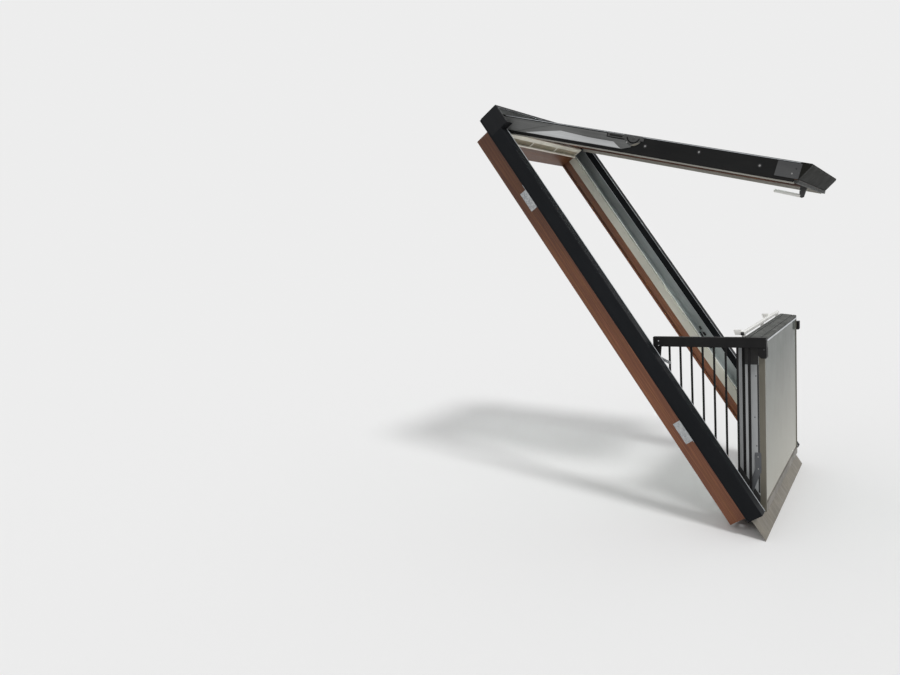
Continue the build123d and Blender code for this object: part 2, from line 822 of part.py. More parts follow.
def upper_cover(side):
    with BuildPart() as piece:
        with BuildSketch(looking_up(upper, 0)) as section:
            outline(
                (half_upper, 0), (half_upper, cover_foot), (stile_outside, cover_foot),
                (stile_outside, -lip), (lip_inside, -lip), (lip_inside, 0), side=side,
            )
            fillet(section.vertices().sort_by_distance((side * half_upper, 0, 0))[0], sheet)
        extrude(amount=-side_end)
    return piece.part


for name, side in sides:
    save(upper_stile(side), f"upper_sash_stile_{name}")
    save(upper_cover(side), f"upper_sash_cover_{name}")
upper_rail(-timber_inset - upper_rail_width, "upper_sash_top_rail")
upper_rail(timber_end, "upper_sash_bottom_rail")

with BuildPart() as upper_glass:
    with BuildSketch(flat(upper, glass_low)):
        box_at(lip - stile_outside, stile_outside - lip, side_end + lip, -timber_inset + 2 * lip)
    extrude(amount=glass_thickness)
save(upper_glass.part, "upper_glass")

top_cover_length = 60.0
with BuildPart() as top_cover:
    with BuildSketch(looking_along(upper, -cross_half)):
        box_at(-top_cover_length, 0, -lip, 0)
        box_at(-cover_plate, 0, -top_cover_length, 0)
    extrude(amount=2 * cross_half)
save(top_cover.part, "upper_sash_top_cover")

nose_face = 10.0
nose_flange = 34.0
with BuildPart() as nose:
    with BuildSketch(looking_along(upper, -half_upper)):
        outline(
            (side_end, 0), (-upper_length, 0), (-upper_length, -nose_face), (side_end, cover_foot),
        )
    extrude(amount=2 * half_upper)
    up_sash = Axis(origin=upper.origin, direction=upper.y_dir)
    offset(amount=-sheet, openings=nose.faces().sort_by(up_sash)[-1])
    with BuildSketch(looking_along(upper, -cross_half)):
        box_at(side_end - lip, side_end + nose_flange, -sheet, 0)
        box_at(side_end, side_end + nose_flange, -lip, 0)
    extrude(amount=2 * cross_half)
save(nose.part, "upper_sash_bottom_cover")

drip_depth = 14.0
drip_width = 18.0
drip_groove = 2.0
drip_half = half_upper - cover_plate
with BuildPart() as drip:
    with BuildSketch(looking_along(upper, -drip_half)):
        outer = side_end - lip
        box_at(outer, outer + drip_width, -upper_thickness - drip_depth, -upper_thickness)
        for middle in (drip_depth / 3, drip_depth * 2 / 3):
            box_at(outer, outer + plate, -upper_thickness - middle - drip_groove / 2,
                   -upper_thickness - middle + drip_groove / 2, mode=Mode.SUBTRACT)
    extrude(amount=2 * drip_half)
save(drip.part, "upper_sash_drip_rail")

side_strip_inset = 11.0     # from the stile's outer face
side_strip_width = 8.0
side_strip_depth = 18.0
side_strip_start = 2 * timber_inset
with BuildPart() as side_strips:
    with BuildSketch(looking_up(upper, -side_strip_start)):
        for name, side in sides:
            outer = stile_outside - side_strip_inset
            box_at(outer - side_strip_width, outer, -upper_thickness - side_strip_depth,
                   -upper_thickness, side)
    extrude(amount=-side_strip_start - side_end + lip - drip_width)
save(side_strips.part, "upper_sash_side_strips")


# Lifting arms on the sash's sides, which turn on the pins at the head

arm_top = -10.0             # outer edge, from the sash's outer face
arm_low = lip - upper_thickness
arm_start = hinge_pin_t + 10.0
arm_heel = -60.0
arm_heel_low = -56.0
arm_step = -650.0
arm_step_low = -27.0
arm_track_start = -680.0
arm_track_low = -30.0       # edge under the pivot hinge's track
arm_tip = -742.0
arm_end = -790.0            # narrow end, under the pivot hinge's disc
arm_end_low = -60.0
root_start = -75.0
root_top_end = -338.0
root_low_end = -127.0
layer_low = arm_low + arm_layer
pivot_centre = (-792.0, -4.0)
pivot_disc = 49.0
brace_start = (-180.0, layer_low)
brace_crown = (-391.0, -36.0)
brace_waist = (-560.0, -46.0)
brace_shoulder = (-694.0, -47.0)
brace_tip = -738.0


def lifting_arm(side):
    """Long plate with a thicker root beside its pin."""
    with BuildPart() as piece:
        with BuildSketch(beside(upper, side, half_upper, arm_plate)):
            outline(
                (arm_start, arm_top), (arm_start, arm_heel_low), (arm_heel, arm_low), (arm_tip, arm_low),
                (arm_end, arm_end_low), (arm_end, arm_track_low), (arm_track_start, arm_track_low),
                (arm_step, arm_step_low), (arm_step, arm_top),
            )
            disc_at(pivot_centre, pivot_disc + fit, Mode.SUBTRACT)
            disc_at((hinge_pin_t, hinge_pin_m), hinge_pin + fit, Mode.SUBTRACT)
        extrude(amount=arm_plate)
        with BuildSketch(beside(upper, side, half_upper + arm_plate, arm_layer)):
            outline((root_start, arm_top), (root_top_end, arm_top - arm_layer), (root_low_end, layer_low),
                    (root_start, layer_low))
        extrude(amount=arm_layer)
    return piece.part


with BuildPart() as braces:
    for name, side in sides:
        with BuildSketch(beside(upper, side, half_upper + arm_plate, arm_layer)):
            outline(brace_start, brace_crown, brace_waist, brace_shoulder, (brace_tip, layer_low))
        extrude(amount=arm_layer)
save(braces.part, "arm_braces")


# Pivot hinges half way down the sash, where it also swings for cleaning

pivot_slot_radius = 34.0
pivot_slot_width = 7.0
pivot_slot_start = 200.0
pivot_slot_sweep = 140.0
pivot_hole = 3.5
pivot_holes = ((16.0, -14.0), (-4.0, -10.0))    # across and down from the disc's centre
pivot_cut = 1.0             # of the disc's flat edge above its centre
track_middle = (-751.5, -16.0)
track_length = 193.0
track_width = 16.0
guide_middle = (-700.0, -15.5)
guide_length = 72.0
guide_width = 8.0


def pivot_hinge(side):
    """Track with a half disc, an arc-shaped guide slot and two screw holes."""
    with BuildPart() as piece:
        with BuildSketch(beside(upper, side, half_upper, plate)):
            disc_at(pivot_centre, pivot_disc)
            top = pivot_centre[1] + pivot_cut
            box_at(pivot_centre[0] - pivot_disc, pivot_centre[0] + pivot_disc, top,
                   top + pivot_disc, mode=Mode.SUBTRACT)
            with Locations(track_middle):
                Rectangle(track_length, track_width)
            with Locations(guide_middle):
                SlotOverall(guide_length, guide_width, mode=Mode.SUBTRACT)
            with BuildLine(mode=Mode.PRIVATE) as travel:
                CenterArc(pivot_centre, pivot_slot_radius, pivot_slot_start, pivot_slot_sweep)
            SlotArc(travel.wire(), pivot_slot_width, mode=Mode.SUBTRACT)
            for across, down in pivot_holes:
                disc_at((pivot_centre[0] + across, pivot_centre[1] + down), pivot_hole, Mode.SUBTRACT)
        extrude(amount=plate)
    return piece.part


for name, side in sides:
    save(lifting_arm(side), f"lifting_arm_{name}")
    save(pivot_hinge(side), f"pivot_hinge_{name}")

corner_length = 104.0
corner_height = 68.0
corner_gap = 1.0            # from the foot of the sash's side
with BuildPart() as corners:
    for name, side in sides:
        with BuildSketch(beside(upper, side, half_upper, plate)):
            middle = side_end + corner_gap + corner_length / 2
            with Locations((middle, cover_foot + sheet + corner_height / 2)):
                RectangleRounded(corner_length, corner_height, plate)
        extrude(amount=plate)
save(corners.part, "upper_sash_corner_brackets")


# Hinge brackets on the head of the frame, with the pins that the arms turn on

pin_point = roof.to_local_coords(upper.from_local_coords((0, hinge_pin_t, hinge_pin_m)))
upright_inside = half_upper + arm_plate + fit
head_hinge_start = jamb_inside + 2 * lip
head_hinge_length = 46.0
head_hinge_over_pin = 16.0
head_hinge_past_pin = 20.0
head_hinge_foot = pin_point.Y + head_hinge_past_pin - head_hinge_length
with BuildPart() as head_hinges:
    for name, side in sides:
        with BuildSketch(looking_up(roof, head_hinge_foot + head_hinge_length)):
            box_at(head_hinge_start, upright_inside + plate, ledge_top, ledge_top + plate, side)
            box_at(upright_inside, upright_inside + plate, ledge_top, pin_point.Z + head_hinge_over_pin,
                   side)
        extrude(amount=head_hinge_length)
        with BuildSketch(beside(roof, side, half_upper + fit, arm_plate)):
            disc_at((pin_point.Y, pin_point.Z), hinge_pin)
        extrude(amount=arm_plate)
save(head_hinges.part, "head_hinges")


# Handle under the foot of the upper sash

handle_width = 20.0
handle_root = timber_end + 24.0
handle_post = 34.0
handle_reach = 156.0
handle_drop = 48.0
handle_bar = 14.0
handle_toe = 8.0
with BuildPart() as handle:
    with BuildSketch(looking_along(upper, -handle_width / 2)) as section:
        inner = handle_root + handle_post
        tip = handle_root + handle_reach
        low = -upper_thickness - handle_drop
        outline(
            (handle_root, -upper_thickness), (inner, -upper_thickness), (inner, low),
            (tip, low + lip), (tip, low + lip - handle_bar), (inner, low - handle_bar - lip),
            (handle_root + handle_toe, low - handle_bar - 2 * lip), (handle_root, low - handle_bar + lip),
        )
        fillet(section.vertices().sort_by(Axis.X)[-2:], handle_bar / 3)
    extrude(amount=handle_width)
save(handle.part, "upper_handle")
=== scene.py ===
"""Looks of the balcony roof window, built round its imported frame.

The frame's own axes hold: +Z up, the outside faces -Y, +X to the right seen from outside. The
roof and each sash is a leaf with axes of its own: X across, Y up the slope, Z towards the outside.
Fittings are drawn in millimetres in the axes of their leaf; everything else is in metres.
"""

import json
import math
import random

import bmesh
import bpy
from mathutils import Matrix, Vector


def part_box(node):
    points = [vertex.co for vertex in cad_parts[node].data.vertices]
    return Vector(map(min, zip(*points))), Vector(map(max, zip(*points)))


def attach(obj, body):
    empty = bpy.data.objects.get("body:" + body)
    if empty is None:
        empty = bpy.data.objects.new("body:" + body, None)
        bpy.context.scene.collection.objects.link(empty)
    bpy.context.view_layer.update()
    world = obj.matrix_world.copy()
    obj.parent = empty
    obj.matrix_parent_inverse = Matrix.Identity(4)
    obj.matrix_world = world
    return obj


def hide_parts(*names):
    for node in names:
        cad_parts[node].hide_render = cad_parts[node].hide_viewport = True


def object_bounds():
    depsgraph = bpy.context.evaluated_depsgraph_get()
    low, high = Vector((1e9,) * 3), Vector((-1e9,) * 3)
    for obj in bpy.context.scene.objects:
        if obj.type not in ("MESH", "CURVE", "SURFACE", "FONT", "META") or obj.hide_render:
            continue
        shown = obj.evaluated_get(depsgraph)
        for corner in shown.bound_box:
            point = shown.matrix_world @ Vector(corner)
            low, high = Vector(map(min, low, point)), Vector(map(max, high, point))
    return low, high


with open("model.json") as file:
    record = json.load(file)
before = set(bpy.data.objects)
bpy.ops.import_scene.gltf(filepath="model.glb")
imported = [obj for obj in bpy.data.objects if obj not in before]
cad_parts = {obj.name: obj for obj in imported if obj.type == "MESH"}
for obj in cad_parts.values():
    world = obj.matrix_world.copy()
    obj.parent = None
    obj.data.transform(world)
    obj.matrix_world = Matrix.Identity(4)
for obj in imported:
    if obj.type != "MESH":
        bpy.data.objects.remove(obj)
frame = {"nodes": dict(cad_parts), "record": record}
cad_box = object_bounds()
SEED = 7
random.seed(SEED)

# Camera, as it stood when the photograph was taken
CAMERA_PLACE = (-4.1814, -0.6387, 1.4021)
CAMERA_TURN = (83.464, 3.590, -56.989)      # degrees about X, Y and Z
IMAGE_WIDTH = 900                           # pixels
FOCAL_PIXELS = 705.0
SENSOR_WIDTH = 36.0                         # millimetres
SIGHT = 100                                 # metres


def make_camera():
    data = bpy.data.cameras.new("camera")
    data.sensor_width = SENSOR_WIDTH
    data.lens = FOCAL_PIXELS * SENSOR_WIDTH / IMAGE_WIDTH
    data.clip_end = SIGHT
    camera = bpy.data.objects.new("camera", data)
    camera.location = CAMERA_PLACE
    camera.rotation_euler = [math.radians(angle) for angle in CAMERA_TURN]
    bpy.context.scene.collection.objects.link(camera)
    bpy.context.scene.camera = camera


make_camera()

# Leaves
PITCH = 57.0                                # degrees from level
UPPER_TILT = 16.6
LOWER_TILT = 90.0
COVER_DEPTH = 0.078                         # of the upper sash's side covers


class Leaf:
    """Axes of the roof or of a sash, for placing pieces and for laying textures."""

    def __init__(self, tilt, foot=(0, 0, 0)):
        self.tilt = math.radians(tilt)
        self.matrix = Matrix.Translation(foot) @ Matrix.Rotation(self.tilt, 4, "X")


edge_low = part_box("lower_sash_edges")[0]
cover_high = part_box("upper_sash_cover_left")[1]
cover_back = COVER_DEPTH * math.sin(math.radians(UPPER_TILT))
ROOF = Leaf(PITCH)
LOWER = Leaf(LOWER_TILT, (0, edge_low[1], edge_low[2]))
UPPER = Leaf(UPPER_TILT, (0, cover_high[1] - cover_back, cover_high[2]))


# Node graphs
NOISE_RANGE = (0.3, 0.7)                    # where nearly all noise lies
EDGE_ALIGNED = (0.80, 0.985)                # rounded against flat normal, on and off an edge


class Graph:
    """Nodes of one finish, with its textures laid along a leaf."""

    def __init__(self, name, leaf):
        self.material = bpy.data.materials.new(name)
        self.material.use_nodes = True
        self.tree = self.material.node_tree
        self.shader = self.tree.nodes["Principled BSDF"]
        self.tilt = leaf.tilt

    def put(self, socket, value):
        if isinstance(value, bpy.types.NodeSocket):
            self.tree.links.new(value, socket)
        elif socket.type == "RGBA":
            socket.default_value = (*value, 1)
        else:
            socket.default_value = value

    def add(self, kind, inputs=(), **settings):
        node = self.tree.nodes.new(kind)
        for name, value in settings.items():
            setattr(node, name, value)
        for name, value in dict(inputs).items():
            self.put(node.inputs[name], value)
        return node

    def set(self, **sockets):
        """Values or links for the shader, by socket name with _ for a space."""
        for name, value in sockets.items():
            self.put(self.shader.inputs[name.replace("_", " ")], value)

    def place(self, size, shift):
        """Leaf coordinates, in units of a feature's size across, along and out of the leaf."""
        where = self.add("ShaderNodeTexCoord").outputs["Object"]
        inputs = {"Vector": where, "Location": (shift, shift, shift), "Rotation": (self.tilt, 0, 0),
                  "Scale": size}
        return self.add("ShaderNodeMapping", inputs, vector_type="TEXTURE").outputs["Vector"]

    def noise(self, size, detail=3.0, roughness=0.5, shift=0.0, distortion=0.0):
        inputs = {"Vector": self.place(size, shift), "Scale": 1.0, "Detail": detail,
                  "Roughness": roughness, "Distortion": distortion}
        return self.add("ShaderNodeTexNoise", inputs).outputs[0]

    def cells(self, size):
        inputs = {"Vector": self.place(size, 0.0), "Scale": 1.0}
        colour = self.add("ShaderNodeTexVoronoi", inputs).outputs["Color"]
        return self.add("ShaderNodeSeparateColor", {"Color": colour}).outputs[0]

    def span(self, value, low, high, start=0.0, end=1.0):
        inputs = {"Value": value, "From Min": low, "From Max": high, "To Min": start, "To Max": end}
        return self.add("ShaderNodeMapRange", inputs).outputs[0]

    def calculate(self, operation, first, second):
        return self.add("ShaderNodeMath", {0: first, 1: second}, operation=operation).outputs[0]

    def mix(self, factor, first, second):
        inputs = {0: factor, 6: first, 7: second}
        return self.add("ShaderNodeMix", inputs, data_type="RGBA").outputs[2]

    def shade(self, colour, factor):
        inputs = {0: colour, "Scale": factor}
        return self.add("ShaderNodeVectorMath", inputs, operation="SCALE").outputs[0]

    def fade(self, span):
        """Painted light: a gain that grows from 1 along the leaf: (start, end, gain at the end), in
        metres.
        """
        start, end, gain = span
        along = self.add("ShaderNodeSeparateXYZ", {0: self.place((1, 1, 1), 0)}).outputs[1]
        return self.span(along, start, end, 1.0, gain)

    def facing_up(self, low, high):
        normal = self.add("ShaderNodeNewGeometry").outputs["Normal"]
        height = self.add("ShaderNodeSeparateXYZ", {0: normal}).outputs[2]
        return self.span(height, low, high)

    def rounded(self, radius):
        """Normal with rounded edges, and a mask that is 1 along them."""
        soft = self.add("ShaderNodeBevel", {"Radius": radius}, samples=6).outputs[0]
        hard = self.add("ShaderNodeNewGeometry").outputs["True Normal"]
        along = self.add("ShaderNodeVectorMath", {0: soft, 1: hard}, operation="DOT_PRODUCT")
        return soft, self.span(along.outputs["Value"], *EDGE_ALIGNED, 1.0, 0.0)

    def bump(self, height, distance, normal):
        inputs = {"Height": height, "Distance": distance, "Normal": normal}
        return self.add("ShaderNodeBump", inputs).outputs[0]


# Finishes; a feature's size is across, along and out of the leaf
EDGE_RADIUS = 0.0009
DUST = (0.30, 0.28, 0.24)
TONE_SIZE = (0.16, 0.40, 0.16)
STREAK_SIZE = (0.0022, 0.35, 0.0022)
FLECK_SIZE = (0.0016, 0.0016, 0.0016)
PATCH_SIZE = (0.030, 0.090, 0.030)
PATCH_RANGE = (0.42, 0.74)
SPECK_SIZE = (0.004, 0.004, 0.004)
SPECK_RANGE = (0.70, 0.76)
SETTLING = (-0.4, 0.9)                      # height of the normal, from no dust to most
EDGE_PATCH_SIZE = (0.012, 0.05, 0.012)
EDGE_PATCH_RANGE = (0.3, 0.6)
LEAST_EDGE_PATCH = 0.3                             # share of an edge's wear and painted highlight
SHEEN_SIZE = (0.05, 0.12, 0.05)
SMOOTHER, ROUGHER = 0.07, 0.10              # than a look's gloss
COAT_RELIEF = 0.00012


def coated(name, leaf, colour, vary=0.16, grain=0.08, dust=0.12, gloss=0.42, edge=0.35,
           edge_wear_and_highlight_colour=(0.32, 0.33, 0.34), metallic=0.0, specular=0.5, ior=1.5, fade=None):
    """Painted, anodised or moulded surface: slow tone, streaks, dust, lighter edges that are partly
    wear and partly painted highlight, fine texture.
    """
    graph = Graph(name, leaf)
    slow = graph.noise(TONE_SIZE, 4)
    streak = graph.noise(STREAK_SIZE, 6, 0.6)
    tone = graph.calculate("MULTIPLY", graph.span(slow, *NOISE_RANGE, 1 - vary, 1 + vary),
                           graph.span(streak, *NOISE_RANGE, 1 - grain, 1 + grain))
    # painted light: the tone grows brighter towards the foot of the slope
    if fade:
        tone = graph.calculate("MULTIPLY", tone, graph.fade(fade))
    base = graph.shade(colour, tone)
    patch = graph.span(graph.noise(PATCH_SIZE, 6, 0.65, 0.3), *PATCH_RANGE, 0, dust)
    settled = graph.calculate("MULTIPLY", patch, graph.facing_up(*SETTLING))
    speck = graph.span(graph.noise(SPECK_SIZE, 1, shift=0.7), *SPECK_RANGE, 0, dust)
    base = graph.mix(graph.calculate("MAXIMUM", settled, speck), base, DUST)
    # lighter edges: partly wear, partly painted highlight where edges catch the light
    soft, edge_wear_and_highlight = graph.rounded(EDGE_RADIUS)
    edge_patches = graph.span(graph.noise(EDGE_PATCH_SIZE, 3), *EDGE_PATCH_RANGE, LEAST_EDGE_PATCH * edge, edge)
    base = graph.mix(graph.calculate("MULTIPLY", edge_wear_and_highlight, edge_patches), base, edge_wear_and_highlight_colour)
    rough = graph.span(graph.noise(SHEEN_SIZE, 5, shift=0.5), *NOISE_RANGE,
                       gloss - SMOOTHER, gloss + ROUGHER)
    height = graph.calculate("ADD", graph.noise(FLECK_SIZE, 2), streak)
    graph.set(Base_Color=base, Roughness=rough, Metallic=metallic, Specular_IOR_Level=specular,
              IOR=ior, Normal=graph.bump(height, COAT_RELIEF, soft))
    return graph.material


DEEP_STAIN = (0.115, 0.038, 0.016)
LIGHT_STAIN = (0.215, 0.083, 0.030)
RING_STAIN = (0.075, 0.022, 0.013)
FIBRE_STAIN = (0.26, 0.110, 0.045)
PORE_STAIN = (0.045, 0.014, 0.009)
TIMBER_WEAR_AND_HIGHLIGHT = (0.36, 0.20, 0.13)
TIMBER_RELIEF = 0.00035


def dimmed(colour, light):
    return [light * part for part in colour]


def timber(name, leaf, across=False, light=1.0, fade=None):
    """Stained softwood, with its grain along the slope or across the leaf."""
    graph = Graph(name, leaf)

    def grain(width, length):
        return (length, width, width) if across else (width, length, width)

    bend = graph.noise(grain(0.045, 0.55), shift=0.2, distortion=0.6)
    inputs = {"Vector": graph.place(grain(0.021, 0.9), 0.1), "Scale": 1.0, "Distortion": 5.5,
              "Detail": 3.0, "Detail Scale": 1.1}
    direction = "Y" if across else "X"
    rings = graph.add("ShaderNodeTexWave", inputs, bands_direction=direction).outputs[1]
    pores = graph.noise(grain(0.0009, 0.045), 4, 0.6)
    fibre = graph.noise(grain(0.0035, 0.30), 6, 0.65, 0.5)
    # light below 1 darkens the stain as painted shade
    base = graph.mix(graph.span(bend, *NOISE_RANGE), dimmed(DEEP_STAIN, light),
                     dimmed(LIGHT_STAIN, light))
    base = graph.mix(graph.span(rings, 0.35, 0.95, 0, 0.55), base, RING_STAIN)
    base = graph.mix(graph.span(fibre, 0.45, 0.75, 0, 0.5), base, FIBRE_STAIN)
    base = graph.mix(graph.span(pores, 0.60, 0.72, 0, 0.7), base, PORE_STAIN)
    # painted light: the stain grows brighter towards the foot of the slope
    if fade:
        base = graph.shade(base, graph.fade(fade))
    # lighter arrises: partly wear, partly painted highlight where edges catch the light
    soft, edge_wear_and_highlight = graph.rounded(EDGE_RADIUS)
    base = graph.mix(graph.span(edge_wear_and_highlight, 0, 1, 0, 0.35), base, TIMBER_WEAR_AND_HIGHLIGHT)
    height = graph.calculate("SUBTRACT", fibre, graph.calculate("MULTIPLY", pores, 1.5))
    rough = graph.span(fibre, *NOISE_RANGE, 0.36, 0.52)
    graph.set(Base_Color=base, Roughness=rough, Specular_IOR_Level=0.4,
              Normal=graph.bump(height, TIMBER_RELIEF, soft))
    return graph.material


DARK_PATINA = (0.120, 0.106, 0.084)
PALE_PATINA = (0.215, 0.195, 0.160)
RUN_OFF = (0.290, 0.280, 0.255)
SCRATCHED = (0.36, 0.35, 0.32)
RUBBED_LEAD = (0.40, 0.39, 0.36)
LEAD_RELIEF = 0.0009


def leaden(name, leaf):
    """Weathered soft sheet: patina in blotches, run-off streaks and scratches."""
    graph = Graph(name, leaf)
    blotch = graph.noise((0.11, 0.07, 0.11), 6, 0.62, 0.1, 0.5)
    runs = graph.noise((0.018, 0.25, 0.018), 5, 0.6, 0.4)
    scratch = graph.noise((0.09, 0.0011, 0.0011), shift=0.8)
    dents = graph.noise((0.02, 0.02, 0.02), 5)
    base = graph.mix(graph.span(blotch, 0.32, 0.70), DARK_PATINA, PALE_PATINA)
    base = graph.mix(graph.span(runs, 0.48, 0.72, 0, 0.5), base, RUN_OFF)
    base = graph.mix(graph.span(scratch, 0.66, 0.74, 0, 0.35), base, SCRATCHED)
    soft, edge_wear_and_highlight = graph.rounded(EDGE_RADIUS)
    base = graph.mix(graph.span(edge_wear_and_highlight, 0, 1, 0, 0.4), base, RUBBED_LEAD)
    rough = graph.span(blotch, *NOISE_RANGE, 0.48, 0.68)
    graph.set(Base_Color=base, Roughness=rough, Metallic=0.15,
              Normal=graph.bump(dents, LEAD_RELIEF, soft))
    return graph.material


DARK_SPANGLE = (0.30, 0.315, 0.325)
LIGHT_SPANGLE = (0.50, 0.515, 0.525)
BLOOM = (0.55, 0.56, 0.55)
RUBBED_ZINC = (0.62, 0.63, 0.64)
ZINC_RELIEF = 0.0002


def galvanised(name, leaf):
    """Zinc-coated steel with its spangle and white bloom."""
    graph = Graph(name, leaf)
    spangle = graph.cells((0.007, 0.009, 0.007))
    bloom = graph.noise((0.03, 0.06, 0.03), 5, 0.6, 0.3)
    base = graph.mix(spangle, DARK_SPANGLE, LIGHT_SPANGLE)
    base = graph.mix(graph.span(bloom, 0.5, 0.75, 0, 0.55), base, BLOOM)
    soft, edge_wear_and_highlight = graph.rounded(EDGE_RADIUS)
    base = graph.mix(graph.span(edge_wear_and_highlight, 0, 1, 0, 0.4), base, RUBBED_ZINC)
    graph.set(Base_Color=base, Metallic=0.75, Roughness=graph.span(spangle, 0, 1, 0.34, 0.50),
              Normal=graph.bump(bloom, ZINC_RELIEF, soft))
    return graph.material


CLEAR_GLASS = (0.89, 0.94, 0.915)
PAINTED_DARK_REFLECTION = (0.030, 0.034, 0.026)
PAINTED_LIGHT_REFLECTION = (0.310, 0.293, 0.245)
PAINTED_REFLECTION_HEIGHT = (0.80, 0.10)                # above the sill, from none to most of the lighter painted reflection
GLANCING = (0.26, 0.72)                     # Layer Weight, from clear to veiled
MOST_VEIL = 0.86
GLASS_IOR = 1.09                            # low, because the veil of painted reflection stands in for the reflection


def glazing(name, leaf):
    """Float glass under a veil that shows at a glancing angle, with a little film and runs; the
    veil's colour is painted reflection, dark higher up and lighter towards the sill.
    """
    graph = Graph(name, leaf)
    film = graph.noise((0.12, 0.20, 0.12), 6, 0.62, 0.2)
    runs = graph.noise((0.009, 0.30, 0.009), 5, 0.6, 0.6)
    glance = graph.add("ShaderNodeLayerWeight", {"Blend": 0.32}).outputs["Facing"]
    dirt = graph.calculate("ADD", graph.span(film, *NOISE_RANGE, 0.01, 0.045),
                           graph.span(runs, 0.55, 0.75, 0, 0.03))
    veil = graph.calculate("ADD", dirt, graph.span(glance, *GLANCING, 0, MOST_VEIL))
    where = graph.add("ShaderNodeTexCoord").outputs["Object"]
    height = graph.add("ShaderNodeSeparateXYZ", {0: where}).outputs[2]
    # painted reflection: a dark veil higher up, a light one towards the sill
    painted_reflection = graph.mix(graph.span(height, *PAINTED_REFLECTION_HEIGHT), PAINTED_DARK_REFLECTION, PAINTED_LIGHT_REFLECTION)
    base = graph.mix(veil, CLEAR_GLASS, painted_reflection)
    graph.set(Base_Color=base, Transmission_Weight=graph.span(veil, 0, 1, 1, 0), IOR=GLASS_IOR,
              Roughness=graph.span(film, *NOISE_RANGE, 0.01, 0.035), Specular_IOR_Level=0.12)
    return graph.material


MADE = {}                                   # finishes by name


def cached(name, maker, leaf, **settings):
    if name not in MADE:
        MADE[name] = maker(name, leaf, **settings)
    return MADE[name]


